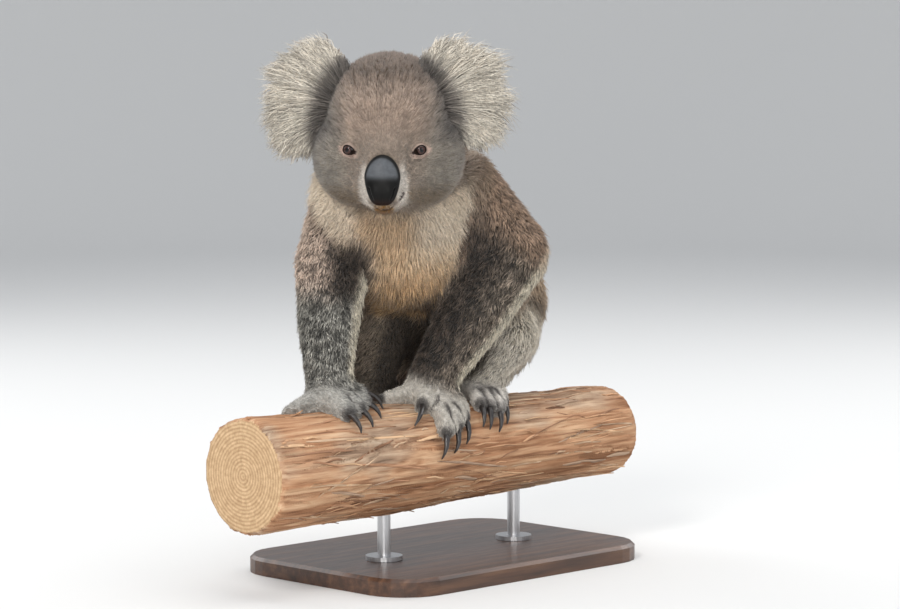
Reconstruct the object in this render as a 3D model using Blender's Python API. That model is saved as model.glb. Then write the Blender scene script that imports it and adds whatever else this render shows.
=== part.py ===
"""A life-size koala standing on a cut length of gum branch, which a plain display stand holds up.

Metres. +Z is up and +X is the koala's left, as it faces -Y.
The origin is on the floor, under the middle of the whole.
The koala is joined into one body, then parted into its nodes with thin cuts.
"""

import math

import bmesh
import bpy
from mathutils import Matrix, Vector
from mathutils.bvhtree import BVHTree

# ---- Driving dimensions ----------------------------------------------------------------

MM = 0.001
GAP = 0.3 * MM

BASE_LENGTH = 330 * MM
BASE_WIDTH = 230 * MM
BASE_THICK = 16 * MM
BASE_CORNER = 45 * MM
BASE_BEVEL = 3 * MM
ROD_RADIUS = 6 * MM
ROD_SPACING = 170 * MM
ROD_CLEAR = 45 * MM
FLANGE_RADIUS = 17 * MM
FLANGE_THICK = 4 * MM

BRANCH_RADIUS = 48 * MM
BRANCH_TAPER = 0.022
BRANCH_YAW = math.radians(45)
BRANCH_START = -255 * MM
BRANCH_END = 215 * MM
BRANCH_SIDES = 18
BRANCH_RINGS = 16

HEAD_WIDTH = 141 * MM
HEAD_HEIGHT = 148 * MM
HEAD_YAW = math.radians(-4)
HEAD_PITCH = math.radians(2)
EYE_SPACING = 62 * MM
EYE_RADIUS = 6.6 * MM
EYE_FORWARD = 43.5 * MM
EYE_UP = -12 * MM
NOSE_WIDTH = 33 * MM
NOSE_HEIGHT = 47 * MM
NOSE_DEPTH = 17 * MM

CLAW_RADIUS = 3.0 * MM
CLAW_SIDES = 5
CLAW_RINGS = 5

SKIN_VOXEL = 3.0 * MM
SMOOTH_PASSES = 6
TRUNK_SMOOTH_PASSES = 30
FLESH_TRIANGLES = 2340
FLAT_ENOUGH = math.radians(5)

# Heights below are above the branch's top, and this puts its top over the base.
BRANCH_TOP = BASE_THICK + ROD_CLEAR + 2 * BRANCH_RADIUS


def at(x, y, z):
    """A point given in millimetres: left of, behind and above the branch's top at its middle."""
    return Vector((x, y, z)) * MM + Vector((0, 0, BRANCH_TOP))


HEAD_CENTRE = at(-55, -52, 247)

# ---- Materials -------------------------------------------------------------------------


def material(name, colour, roughness, metallic=0.0):
    made = bpy.data.materials.new(name)
    made.use_nodes = True
    made.diffuse_color = (*colour, 1)
    shader = made.node_tree.nodes["Principled BSDF"]
    shader.inputs["Base Color"].default_value = (*colour, 1)
    shader.inputs["Roughness"].default_value = roughness
    shader.inputs["Metallic"].default_value = metallic
    return made


# ---- Meshes ----------------------------------------------------------------------------


def new_object(name, bm):
    """An object from a closed bmesh, which it frees."""
    bmesh.ops.recalc_face_normals(bm, faces=bm.faces)
    if bm.calc_volume(signed=True) < 0:
        bmesh.ops.reverse_faces(bm, faces=bm.faces)
    mesh = bpy.data.meshes.new(name)
    bm.to_mesh(mesh)
    bm.free()
    made = bpy.data.objects.new(name, mesh)
    bpy.context.scene.collection.objects.link(made)
    return made


def drop(thing):
    bpy.data.objects.remove(thing)


def bake(thing):
    """Turns an object's modifiers into its mesh."""
    bpy.context.view_layer.update()
    graph = bpy.context.evaluated_depsgraph_get()
    mesh = bpy.data.meshes.new_from_object(thing.evaluated_get(graph))
    thing.modifiers.clear()
    thing.data = mesh


def combine(thing, other, operation):
    """A Boolean of two closed meshes, which deletes the other."""
    modifier = thing.modifiers.new("combine", "BOOLEAN")
    modifier.operation = operation
    modifier.solver = "EXACT"
    modifier.object = other
    bake(thing)
    drop(other)


def cut(thing, cutter):
    combine(thing, cutter, "DIFFERENCE")


def keep(thing, region):
    combine(thing, region, "INTERSECT")


def add_ball(bm, centre, radii, turn=None, detail=3):
    """An ellipsoid, its radii in millimetres."""
    size = Matrix.Diagonal((*(Vector(radii) * MM), 1))
    place = Matrix.Translation(centre) @ (turn or Matrix.Identity(4)) @ size
    bmesh.ops.create_icosphere(bm, subdivisions=detail, radius=1, matrix=place)


def add_limb(bm, stations):
    """Balls joined by cones, through (point, radius in millimetres) stations."""
    for (start, first), (end, last) in zip(stations, stations[1:]):
        along = end - start
        turn = along.to_track_quat("Z", "Y").to_matrix().to_4x4()
        place = Matrix.Translation((start + end) / 2) @ turn
        bmesh.ops.create_cone(
            bm,
            cap_ends=True,
            segments=24,
            radius1=first * MM,
            radius2=last * MM,
            depth=along.length,
            matrix=place,
        )
    for point, radius in stations:
        add_ball(bm, point, (radius, radius, radius))


def sweep(bm, path, radii, sides):
    """A round tube with flat ends through the points of a path, which bends in any direction."""
    rings = []
    across = Vector((0.3, 0.2, 1))
    for index, (point, radius) in enumerate(zip(path, radii)):
        along = (path[min(index + 1, len(path) - 1)] - path[max(index - 1, 0)]).normalized()
        across = (across - across.dot(along) * along).normalized()
        other = along.cross(across)
        angles = [2 * math.pi * side / sides for side in range(sides)]
        spokes = [math.cos(a) * across + math.sin(a) * other for a in angles]
        rings.append([bm.verts.new(point + radius * spoke) for spoke in spokes])
    for first, second in zip(rings, rings[1:]):
        for side in range(sides):
            after = (side + 1) % sides
            bm.faces.new((first[side], first[after], second[after], second[side]))
    bm.faces.new(rings[0][::-1])
    bm.faces.new(rings[-1])


# ---- Branch and stand ------------------------------------------------------------------

ALONG = Vector((math.cos(BRANCH_YAW), math.sin(BRANCH_YAW), 0))
FRONT = Vector((math.sin(BRANCH_YAW), -math.cos(BRANCH_YAW), 0))
UP = Vector((0, 0, 1))


def branch_radius(s, angle):
    """The branch's radius: it tapers, swells at two knots and undulates a little."""
    radius = BRANCH_RADIUS - BRANCH_TAPER * s
    radius += 1.4 * MM * math.sin(2 * angle + 9 * s) * math.sin(26 * s + 0.6)
    for knot_s, knot_angle, height in ((-75 * MM, 1.35, 4 * MM), (165 * MM, 0.35, 6 * MM)):
        turned = math.remainder(angle - knot_angle, 2 * math.pi)
        away = ((s - knot_s) / (26 * MM)) ** 2 + (turned / 0.5) ** 2
        radius += height * math.exp(-away)
    return radius


def on_branch(s, degrees, lift):
    """A point over the bark: s and lift in millimetres, and degrees from the top towards the front."""
    angle = math.radians(degrees)
    radius = branch_radius(s * MM, angle) + lift * MM
    axis = s * MM * ALONG + (BRANCH_TOP - BRANCH_RADIUS) * UP
    return axis + radius * (math.sin(angle) * FRONT + math.cos(angle) * UP)


def branch(name, swell):
    """The branch, or a cutter the same shape that stands out from it by swell all round."""
    bm = bmesh.new()
    step = (BRANCH_END - BRANCH_START) / (BRANCH_RINGS - 1)
    stops = [BRANCH_START + step * ring for ring in range(BRANCH_RINGS)]
    stations = [(stops[0] - swell, -3.0)] + [(s, 0.0) for s in stops] + [(stops[-1] + swell, -3.0)]
    stations[1] = (stops[0] + 4 * MM, 0.0)
    stations[-2] = (stops[-1] - 4 * MM, 0.0)
    rings = []
    for s, trim in stations:
        angles = [360 * side / BRANCH_SIDES for side in range(BRANCH_SIDES)]
        ring = [bm.verts.new(on_branch(s / MM, a, trim + swell / MM)) for a in angles]
        rings.append(ring)
    for first, second in zip(rings, rings[1:]):
        for side in range(BRANCH_SIDES):
            after = (side + 1) % BRANCH_SIDES
            bm.faces.new((first[side], first[after], second[after], second[side]))
    bm.faces.new(rings[0])
    bm.faces.new(rings[-1])
    bmesh.ops.triangulate(bm, faces=bm.faces)
    return new_object(name, bm)


def stand(base_finish, rod_finish):
    """A round-cornered base plate along the branch, and two rods whose tops are hollowed to the bark."""
    centre = at(-5, 12, 0)
    centre.z = 0
    bm = bmesh.new()
    levels = ((0, 0), (BASE_THICK - BASE_BEVEL, 0), (BASE_THICK, BASE_BEVEL))
    rings = []
    for height, inset in levels:
        ring = []
        for corner in range(4):
            side_x = (1, -1, -1, 1)[corner]
            side_y = (1, 1, -1, -1)[corner]
            for step in range(7):
                angle = math.radians(90 * corner + 15 * step)
                x = side_x * (BASE_LENGTH / 2 - BASE_CORNER) + (BASE_CORNER - inset) * math.cos(angle)
                y = side_y * (BASE_WIDTH / 2 - BASE_CORNER) + (BASE_CORNER - inset) * math.sin(angle)
                ring.append(bm.verts.new(centre + x * ALONG - y * FRONT + height * UP))
        rings.append(ring)
    for first, second in zip(rings, rings[1:]):
        for side in range(len(first)):
            after = (side + 1) % len(first)
            bm.faces.new((first[side], first[after], second[after], second[side]))
    bm.faces.new(rings[0])
    bm.faces.new(rings[-1])
    base = new_object("stand_base", bm)
    base.data.materials.append(base_finish)

    for name, s in (("stand_rod_near", -ROD_SPACING / 2), ("stand_rod_far", ROD_SPACING / 2)):
        bm = bmesh.new()
        foot = s * ALONG + (BASE_THICK + GAP) * UP
        profile = (
            (0, FLANGE_RADIUS),
            (FLANGE_THICK, FLANGE_RADIUS),
            (FLANGE_THICK, ROD_RADIUS),
            (ROD_CLEAR + 12 * MM, ROD_RADIUS),
        )
        rings = []
        for height, radius in profile:
            angles = [math.pi * side / 10 for side in range(20)]
            spokes = [math.cos(a) * ALONG + math.sin(a) * FRONT for a in angles]
            ring = [bm.verts.new(foot + radius * spoke + height * UP) for spoke in spokes]
            rings.append(ring)
        for first, second in zip(rings, rings[1:]):
            for side in range(20):
                after = (side + 1) % 20
                bm.faces.new((first[side], first[after], second[after], second[side]))
        bm.faces.new(rings[0])
        bm.faces.new(rings[-1])
        rod = new_object(name, bm)
        cut(rod, branch("bark_cutter", GAP))
        rod.data.materials.append(rod_finish)


# ---- Head ------------------------------------------------------------------------------

HEAD_TURN = Matrix.Rotation(HEAD_YAW, 4, "Z") @ Matrix.Rotation(HEAD_PITCH, 4, "X")


def in_head(side, forward, up):
    """A point in millimetres from the head's centre: to the koala's left, forward and up."""
    return HEAD_CENTRE + HEAD_TURN @ (Vector((side, -forward, up)) * MM)


def add_head(bm):
    """Cranium, cheeks, face, muzzle, whisker pads and chin, which the joining blends."""
    width = HEAD_WIDTH / MM
    height = HEAD_HEIGHT / MM
    add_ball(bm, in_head(0, -6, 16), (0.43 * width, 64, 0.40 * height), HEAD_TURN)
    add_ball(bm, in_head(0, 0, 34), (0.38 * width, 50, 0.26 * height), HEAD_TURN)
    add_ball(bm, in_head(0, 12, -6), (0.42 * width, 43, 0.36 * height), HEAD_TURN)
    for side in (-1, 1):
        add_ball(bm, in_head(side * 30, 4, -20), (0.29 * width, 45, 0.325 * height), HEAD_TURN)
        add_ball(bm, in_head(side * 18, 40, -44), (18, 22, 17), HEAD_TURN)
        add_ball(bm, in_head(side * 30, 26, -34), (26, 24, 24), HEAD_TURN)
    bridge = ((34, 10, 21), (46, -13, 20), (52, -36, 22), (45, -54, 17))
    add_limb(bm, [(in_head(0, forward, up), radius) for forward, up, radius in bridge])
    add_ball(bm, in_head(0, 38, -58), (19, 22, 14), HEAD_TURN)


def eye(name, side, swell, finish=None):
    bm = bmesh.new()
    centre = in_head(side * EYE_SPACING / 2 / MM, EYE_FORWARD / MM, EYE_UP / MM)
    radius = (EYE_RADIUS + swell) / MM
    add_ball(bm, centre, (radius, radius, radius), HEAD_TURN, 2)
    made = new_object(name, bm)
    if finish:
        made.data.materials.append(finish)
    return made


def socket(side):
    """The almond dish round an eye, whose outer corner is the lower."""
    bm = bmesh.new()
    tilt = HEAD_TURN @ Matrix.Rotation(side * math.radians(12), 4, "Y")
    centre = in_head(side * (EYE_SPACING / 2 / MM + 1), EYE_FORWARD / MM + 9, EYE_UP / MM)
    add_ball(bm, centre, (10.5, 7.5, 7.5), tilt, 2)
    return new_object("socket_cutter", bm)


def nose(name, swell, finish=None):
    """The tall leathery pad, broader above its middle, with a nostril hollow low at each side."""
    bm = bmesh.new()
    bmesh.ops.create_uvsphere(bm, u_segments=16, v_segments=9, radius=1)
    for vert in bm.verts:
        side, up, forward = vert.co
        squared = 1 + 0.10 * (1 - abs(side) ** 3)
        narrowing = 1 - 0.10 * up * up + 0.07 * up
        x = side * narrowing * squared * (NOSE_WIDTH / 2 + swell)
        z = up * (NOSE_HEIGHT / 2 + swell)
        lean = -0.10 * up * NOSE_HEIGHT
        y = forward * (NOSE_DEPTH / 2 + swell) + lean
        for nostril in (-1, 1):
            hollow = math.exp(-(((side - 0.72 * nostril) / 0.26) ** 2) - ((up + 0.45) / 0.22) ** 2)
            y -= 2.5 * MM * hollow * max(0, forward)
        vert.co = in_head(x / MM, 71 + y / MM, -37 + z / MM)
    made = new_object(name, bm)
    if finish:
        made.data.materials.append(finish)
    return made


EARS = {
    # side, centre in the head, reach outward, up, inward and down, and the lower tip's reach
    "ear_right": (-1, (-71, -2, 38), (41, 47, 34, 46), 58),
    "ear_left": (1, (65, -2, 42), (38, 44, 36, 42), 52),
}
EAR_LOCKS = 12
EAR_LOCK_REACH = 6.5
EAR_THICK = 16.0


def ear(name, swell, finish=None):
    """A fan of fur locks: a cushion whose edge breaks into points outward and down."""
    side, centre, (outward, upward, inward, downward), tip = EARS[name]
    around = 3 * EAR_LOCKS
    rings = 6
    bm = bmesh.new()
    grid = []
    for ring in range(1, rings):
        tilt = math.pi * ring / rings - math.pi / 2
        row = []
        for step in range(around):
            angle = 2 * math.pi * step / around
            across, rise = math.cos(angle), math.sin(angle)
            reach_x = outward if across > 0 else inward
            reach_z = upward if rise > 0 else downward
            reach = 1 / math.hypot(across / reach_x, rise / reach_z)
            low_corner = math.exp(-((math.remainder(angle + 0.95, 2 * math.pi) / 0.45) ** 2))
            reach += (tip - reach) * low_corner
            loose = 0.5 + 0.5 * math.cos(angle + 0.5)
            lock = (0.0, 1.0, 0.35)[step % 3] * (0.25 + 0.75 * loose)
            reach += EAR_LOCK_REACH * lock * math.cos(tilt) ** 3
            reach = reach * math.cos(tilt) ** 0.75 + swell / MM
            droop = 0.10 * reach * max(0, across)
            depth = math.sin(tilt) * (EAR_THICK + swell / MM)
            backward = 0.22 * reach * across
            x = centre[0] + side * reach * across
            y = centre[1] + depth - backward
            z = centre[2] + reach * rise - droop
            row.append(bm.verts.new(in_head(x, y, z)))
        grid.append(row)
    back = bm.verts.new(in_head(centre[0], centre[1] - EAR_THICK - swell / MM, centre[2]))
    front = bm.verts.new(in_head(centre[0], centre[1] + EAR_THICK * 0.8 + swell / MM, centre[2]))
    for step in range(around):
        after = (step + 1) % around
        bm.faces.new((grid[0][step], grid[0][after], back))
        bm.faces.new((grid[-1][after], grid[-1][step], front))
        for first, second in zip(grid, grid[1:]):
            bm.faces.new((first[step], second[step], second[after], first[after]))
    made = new_object(name, bm)
    if finish:
        made.data.materials.append(finish)
    return made


# ---- Body and limbs --------------------------------------------------------------------


def add_trunk(bm):
    """Chest, belly, rump, hunched back and the ruff of the neck."""
    add_ball(bm, at(-48, 8, 158), (72, 62, 76))
    back = ((-46, 10, 168, 62), (-16, 54, 142, 84), (8, 82, 122, 80), (24, 92, 82, 69))
    nape = ((-50, -20, 212, 56), (-42, 20, 204, 62), (-26, 48, 176, 66))
    for chain in (back, nape):
        add_limb(bm, [(at(x, y, z), radius) for x, y, z, radius in chain])
    add_ball(bm, at(-50, 8, 230), (52, 46, 48))
    add_ball(bm, at(-47, -16, 150), (58, 40, 64))
    add_ball(bm, at(-38, 68, 45), (32, 32, 39))


ARMS = {
    # shoulder, elbow, mid-forearm and wrist, each with its radius
    "right": (
        (at(-86, 14, 192), 40),
        (at(-107, -34, 128), 35),
        (at(-110, -70, 72), 28),
        (at(-108, -102, 22), 21),
    ),
    "left": ((at(6, 8, 188), 44), (at(56, 8, 134), 37), (at(18, -12, 76), 33), (at(-16, -26, 22), 23)),
}
LEGS = {
    # hip, knee and ankle
    "right": ((at(-40, 70, 64), 39), (at(-62, 20, 66), 30), (at(-74, -22, 9), 19)),
    "left": ((at(46, 74, 52), 39), (at(52, 42, 56), 31), (at(30, 30, 14), 20)),
}
# Each digit: stations of (s, degrees, lift, radius) on the branch, then its claw's bow and tip.
DIGITS = {
    "hand_left": (
        (((-48, 0, 9, 9), (-72, -2, 6, 7), (-90, -2, 4, 5)), ((-103, -4, 6), (-112, -10, 1))),
        (((-44, 14, 10, 10), (-62, 28, 7, 7.5)), ((-76, 44, 8), (-84, 50, 0.8))),
        (((-36, 20, 12, 11), (-46, 42, 10, 9.5), (-54, 62, 6, 8)), ((-61, 78, 10), (-63, 88, 1))),
        (((-30, 22, 12, 11), (-34, 44, 10, 9), (-38, 58, 7, 7.5)), ((-43, 76, 11), (-45, 84, 1))),
        (((-22, 18, 11, 10), (-20, 36, 9, 8.5), (-22, 50, 6, 7)), ((-25, 68, 10), (-27, 76, 1))),
    ),
    "hand_right": (
        (((-144, -12, 9, 9), (-128, -20, 6, 7.5), (-121, -24, 5, 6.5)), ((-110, -30, 8), (-105, -34, 1))),
        (((-142, 0, 11, 10), (-126, 3, 13, 9), (-118, 6, 12, 8)), ((-108, 14, 15), (-104, 22, 1))),
        (((-146, 8, 11, 10), (-132, 14, 10, 9), (-126, 18, 8, 8)), ((-118, 28, 9), (-117, 36, 1))),
        (((-154, 12, 10, 10), (-144, 20, 8, 8.5), (-140, 26, 7, 7.5)), ((-134, 38, 8), (-134, 46, 1))),
        (((-160, 8, 9, 10), (-158, 22, 7, 8), (-156, 30, 6, 7)), ((-152, 44, 8), (-152, 52, 1))),
    ),
    "foot_left": (
        (((24, 2, 8, 10), (14, 22, 8, 8.5), (8, 36, 6, 7)), ((2, 52, 9), (0, 60, 1))),
        (((30, 4, 9, 10), (21, 26, 9, 8.5), (15, 40, 7, 7)), ((9, 56, 9), (7, 64, 1))),
        (((37, 6, 9, 11), (30, 30, 9, 9.5), (25, 44, 7, 8)), ((20, 60, 10), (18, 68, 1))),
        (((45, 6, 8, 10), (41, 26, 8, 8.5), (37, 38, 6, 7)), ((33, 52, 9), (32, 60, 1))),
    ),
    "foot_right": (
        (((-80, -50, 8, 10), (-98, -52, 7, 8.5), (-108, -54, 6, 7)), ((-119, -55, 8), (-125, -56, 1))),
        (((-78, -56, 8, 10), (-97, -63, 7, 8.5), (-107, -67, 6, 7)), ((-118, -71, 8), (-124, -73, 1))),
        (((-76, -62, 8, 11), (-92, -74, 7, 9), (-101, -80, 6, 8)), ((-111, -86, 9), (-116, -91, 1))),
        (((-70, -66, 8, 10), (-81, -82, 7, 8.5), (-87, -90, 6, 7)), ((-94, -100, 8), (-97, -107, 1))),
    ),
}
PALMS = {
    "hand_left": ((-34, 5, 12), (23, 25, 13)),
    "hand_right": ((-150, 0, 11), (24, 25, 13)),
    "foot_left": ((36, -8, 9), (22, 30, 14)),
    "foot_right": ((-71, -52, 9), (23, 24, 13)),
}
BIG_TOES = {
    "foot_left": ((20, -16, 8, 12), (4, -26, 6, 10), (-4, -34, 5, 8)),
    "foot_right": ((-60, -62, 8, 11), (-44, -72, 6, 9), (-36, -80, 5, 7)),
}
HAND_FRINGE = ((-158, -6, 10, 12), (-186, -4, 5, 8), (-208, -3, 2, 4))


def add_digit(bm, stations):
    add_limb(bm, [(on_branch(s, degrees, lift), radius) for s, degrees, lift, radius in stations])


def add_limbs(bm):
    for arm in ARMS.values():
        add_limb(bm, arm)
    for leg in LEGS.values():
        add_limb(bm, leg)
    for name, (place, radii) in PALMS.items():
        turn = Matrix.Rotation(BRANCH_YAW, 4, "Z") @ Matrix.Rotation(math.radians(place[1]), 4, "X")
        add_ball(bm, on_branch(*place), radii, turn)
        for stations, _ in DIGITS[name]:
            add_digit(bm, stations)
    for stations in BIG_TOES.values():
        add_digit(bm, stations)
    add_digit(bm, HAND_FRINGE)


def claws_of(name):
    """Each claw's name and path: out of the last station, over the bow and down to the bark."""
    for index, (stations, (bow, tip)) in enumerate(DIGITS[name]):
        s, degrees, lift, _ = stations[-1]
        path = (on_branch(s, degrees, lift), on_branch(*bow), on_branch(*tip))
        yield f"claw_{name}_{index + 1}", path


def claw(name, path, swell, finish=None):
    """A curved horn that tapers to a point."""
    start, bow, tip = path
    points = []
    radii = []
    for ring in range(CLAW_RINGS):
        t = ring / (CLAW_RINGS - 1)
        points.append((1 - t) ** 2 * start + 2 * t * (1 - t) * bow + t * t * tip)
        radii.append(CLAW_RADIUS * (1 - 0.82 * t**1.6) + swell)
    if swell:
        points[0] += (start - bow).normalized() * swell
        points[-1] += (tip - bow).normalized() * swell
    bm = bmesh.new()
    sweep(bm, points, radii, CLAW_SIDES)
    made = new_object(name, bm)
    if finish:
        made.data.materials.append(finish)
    return made


# ---- Parting ---------------------------------------------------------------------------


def drum(centre, along, size, swell):
    """An elliptic cylinder standing on centre: size is its two radii and its height in millimetres."""
    along = Vector(along).normalized()
    bm = bmesh.new()
    turn = along.to_track_quat("Z", "Y").to_matrix().to_4x4()
    wide, deep, tall = Vector(size) * MM + Vector((1, 1, 2)) * swell
    middle = Matrix.Translation(centre + along * (size[2] * MM / 2))
    place = middle @ turn @ Matrix.Diagonal((wide, deep, tall, 1))
    bmesh.ops.create_cone(
        bm, cap_ends=True, segments=20, radius1=1, radius2=1, depth=1, matrix=place
    )
    return new_object("region", bm)


def sleeve(start, end, before, after, swell):
    """A twelve-sided cone round a limb, from before one (centre, radius) to after another."""
    along = (end[0] - start[0]).normalized()
    first = start[0] - along * (before * MM + swell)
    last = end[0] + along * (after * MM + swell)
    bm = bmesh.new()
    turn = along.to_track_quat("Z", "Y").to_matrix().to_4x4()
    place = Matrix.Translation((first + last) / 2) @ turn
    bmesh.ops.create_cone(
        bm,
        cap_ends=True,
        segments=12,
        radius1=(start[1] + LIMB_ROOM) * MM + swell,
        radius2=(end[1] + LIMB_ROOM) * MM + swell,
        depth=(last - first).length,
        matrix=place,
    )
    return new_object("region", bm)


NECK_LEAN = (0.0, -0.66, 0.75)
LIMB_ROOM = 6


def regions():
    """Each parted node with a function that makes its region, swollen by a given amount."""
    yield "head", lambda swell: drum(at(-54, -18, 211), NECK_LEAN, (85, 86, 200), swell)
    yield "neck", lambda swell: drum(at(-50, -2, 192), NECK_LEAN, (82, 86, 24.5), swell)
    for side in ("right", "left"):
        shoulder, elbow, _, wrist = ARMS[side]
        hip, knee, ankle = LEGS[side]
        yield "shank_" + side, lambda swell, ends=(knee, ankle): sleeve(*ends, 0, 5, swell)
        yield "forearm_" + side, lambda swell, ends=(elbow, wrist): sleeve(*ends, 0, 4, swell)
        ends = (shoulder, elbow)
        yield "upper_arm_" + side, lambda swell, ends=ends: sleeve(*ends, 22, 42, swell)
        yield "thigh_" + side, lambda swell, ends=(hip, knee): sleeve(*ends, 10, 36, swell)


# A point inside each flesh node.
ANCHORS = {
    "head": in_head(0, 0, 10),
    "neck": at(-52, -14, 202),
    "trunk": at(-10, 60, 140),
}
for SIDE in ("right", "left"):
    SHOULDER, ELBOW, MIDDLE, _ = ARMS[SIDE]
    HIP, KNEE, ANKLE = LEGS[SIDE]
    ANCHORS["upper_arm_" + SIDE] = SHOULDER[0]
    ANCHORS["forearm_" + SIDE] = MIDDLE[0]
    ANCHORS["hand_" + SIDE] = on_branch(*DIGITS["hand_" + SIDE][2][0][1][:3])
    ANCHORS["thigh_" + SIDE] = HIP[0]
    ANCHORS["shank_" + SIDE] = KNEE[0].lerp(ANKLE[0], 0.3)
    ANCHORS["foot_" + SIDE] = on_branch(*DIGITS["foot_" + SIDE][2][0][1][:3])


def islands(bm):
    """The mesh's separate bodies, as lists of faces."""
    left = set(bm.faces)
    while left:
        found = {left.pop()}
        edge = list(found)
        while edge:
            face = edge.pop()
            for side in face.edges:
                for other in side.link_faces:
                    if other not in found:
                        found.add(other)
                        edge.append(other)
        left -= found
        yield found


def body_of(faces):
    bm = bmesh.new()
    copies = {}
    for face in faces:
        for vert in face.verts:
            if vert not in copies:
                copies[vert] = bm.verts.new(vert.co)
        bm.faces.new([copies[vert] for vert in face.verts])
    return bm


def holds(tree, point):
    """Whether the point is inside: a ray from it leaves through an odd number of faces."""
    towards = Vector((0.37, 0.21, 0.91)).normalized()
    crossed = 0
    place = tree.ray_cast(point, towards)[0]
    while place:
        crossed += 1
        place = tree.ray_cast(place + towards * 0.01 * MM, towards)[0]
    return crossed % 2 == 1


def name_bodies(thing, names, finish):
    """Each separate body becomes the node whose anchor it holds, and crumbs are left out."""
    bm = bmesh.new()
    bm.from_mesh(thing.data)
    found = []
    for faces in islands(bm):
        body = body_of(faces)
        bmesh.ops.recalc_face_normals(body, faces=body.faces)
        tree = BVHTree.FromBMesh(body)
        held = [name for name in names if holds(tree, ANCHORS[name])]
        size = body.calc_volume()
        if not held and size < (14 * MM) ** 3:
            body.free()
            continue
        if len(held) != 1:
            raise ValueError(f"a body of {size * 1e6:.1f} ml holds {held} of {names}")
        found += held
        bmesh.ops.dissolve_limit(body, angle_limit=FLAT_ENOUGH, verts=body.verts, edges=body.edges)
        bmesh.ops.triangulate(body, faces=body.faces)
        new_object(held[0], body).data.materials.append(finish)
    bm.free()
    drop(thing)
    missing = set(names) - set(found)
    if missing or len(found) != len(set(found)):
        raise ValueError(f"missing {sorted(missing)} of {names}")


def part_flesh(flesh, finish):
    """Takes each region's node out of the flesh, which leaves the trunk, hands and feet."""
    for name, region in regions():
        piece = flesh.copy()
        piece.data = flesh.data.copy()
        bpy.context.scene.collection.objects.link(piece)
        keep(piece, region(0))
        cut(flesh, region(GAP))
        name_bodies(piece, [name], finish)
    name_bodies(flesh, ["trunk", "hand_right", "hand_left", "foot_right", "foot_left"], finish)


def join_flesh():
    """One smooth closed surface over the head, trunk and limbs."""
    bm = bmesh.new()
    add_head(bm)
    add_trunk(bm)
    add_limbs(bm)
    flesh = new_object("flesh", bm)
    remesh = flesh.modifiers.new("join", "REMESH")
    remesh.mode = "VOXEL"
    remesh.voxel_size = SKIN_VOXEL
    bake(flesh)
    torso = flesh.vertex_groups.new(name="torso")
    middle, reach = at(0, 60, 130), 125 * MM
    for vert in flesh.data.vertices:
        away = (vert.co - middle).length / reach
        torso.add([vert.index], max(0.0, min(1.0, 2.2 - 2 * away)), "REPLACE")
    smoothings = (("smooth", SMOOTH_PASSES, ""), ("smooth_torso", TRUNK_SMOOTH_PASSES, "torso"))
    for name, passes, group in smoothings:
        smooth = flesh.modifiers.new(name, "SMOOTH")
        smooth.factor = 0.5
        smooth.iterations = passes
        smooth.vertex_group = group
    bake(flesh)
    flesh.vertex_groups.clear()
    triangles = sum(len(face.vertices) - 2 for face in flesh.data.polygons)
    reduce = flesh.modifiers.new("reduce", "DECIMATE")
    reduce.ratio = FLESH_TRIANGLES / triangles
    reduce.use_collapse_triangulate = True
    bake(flesh)
    return flesh


# ---- The whole -------------------------------------------------------------------------


def stand_on_floor():
    """Moves every node so that the origin is on the floor, under the middle of the whole."""
    nodes = list(bpy.data.objects)
    corners = [vert.co for node in nodes for vert in node.data.vertices]
    middle = [(min(c[axis] for c in corners) + max(c[axis] for c in corners)) / 2 for axis in range(2)]
    shift = Matrix.Translation((-middle[0], -middle[1], 0))
    for node in nodes:
        node.data.transform(shift)


def main():
    for thing in list(bpy.data.objects):
        drop(thing)
    fur = material("fur", (0.36, 0.31, 0.27), 0.9)
    ear_fur = material("ear_fur", (0.62, 0.58, 0.52), 0.9)
    nose_skin = material("nose_skin", (0.05, 0.05, 0.05), 0.35)
    eye_glass = material("eye", (0.10, 0.035, 0.02), 0.08)
    horn = material("claw_horn", (0.03, 0.028, 0.026), 0.35)
    bark = material("bark", (0.52, 0.33, 0.22), 0.85)
    base_wood = material("base_wood", (0.07, 0.04, 0.025), 0.4)
    rod_steel = material("rod_steel", (0.55, 0.55, 0.56), 0.3, 1.0)

    flesh = join_flesh()
    cut(flesh, branch("bark_cutter", GAP))
    for name in ("hand_left", "hand_right", "foot_left", "foot_right"):
        for claw_name, path in claws_of(name):
            cut(flesh, claw(claw_name + "_cutter", path, GAP))
    cut(flesh, eye("eye_cutter", -1, GAP))
    cut(flesh, eye("eye_cutter", 1, GAP))
    cut(flesh, socket(-1))
    cut(flesh, socket(1))
    cut(flesh, nose("nose_cutter", 2 * GAP))
    for name in EARS:
        cut(flesh, ear(name, 3 * GAP))
    part_flesh(flesh, fur)

    eye("eye_right", -1, 0, eye_glass)
    eye("eye_left", 1, 0, eye_glass)
    nose("nose", 0, nose_skin)
    for name in EARS:
        ear(name, 0, ear_fur)
    for name in ("hand_left", "hand_right", "foot_left", "foot_right"):
        for claw_name, path in claws_of(name):
            claw(claw_name, path, 0, horn)
    branch("perch_branch", 0).data.materials.append(bark)
    stand(base_wood, rod_steel)
    stand_on_floor()


main()
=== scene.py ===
"""The koala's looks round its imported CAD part: skin, coat, ears, eyes, nose, claws, bark, stand and studio.

Lengths are in metres in the frame's axes unless a name or a note says millimetres. The koala's left is +X
and it faces -Y. body_coords() counts millimetres from the branch's top, and head_coords() from the head's
centre in the head's own axes. Most bare numbers below are such millimetres, or 0-255 display colours.
"""

import math
from contextlib import contextmanager

import bmesh
import bpy
import numpy as np
from mathutils import Matrix, Vector, noise
from mathutils.bvhtree import BVHTree
from mathutils.kdtree import KDTree


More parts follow.
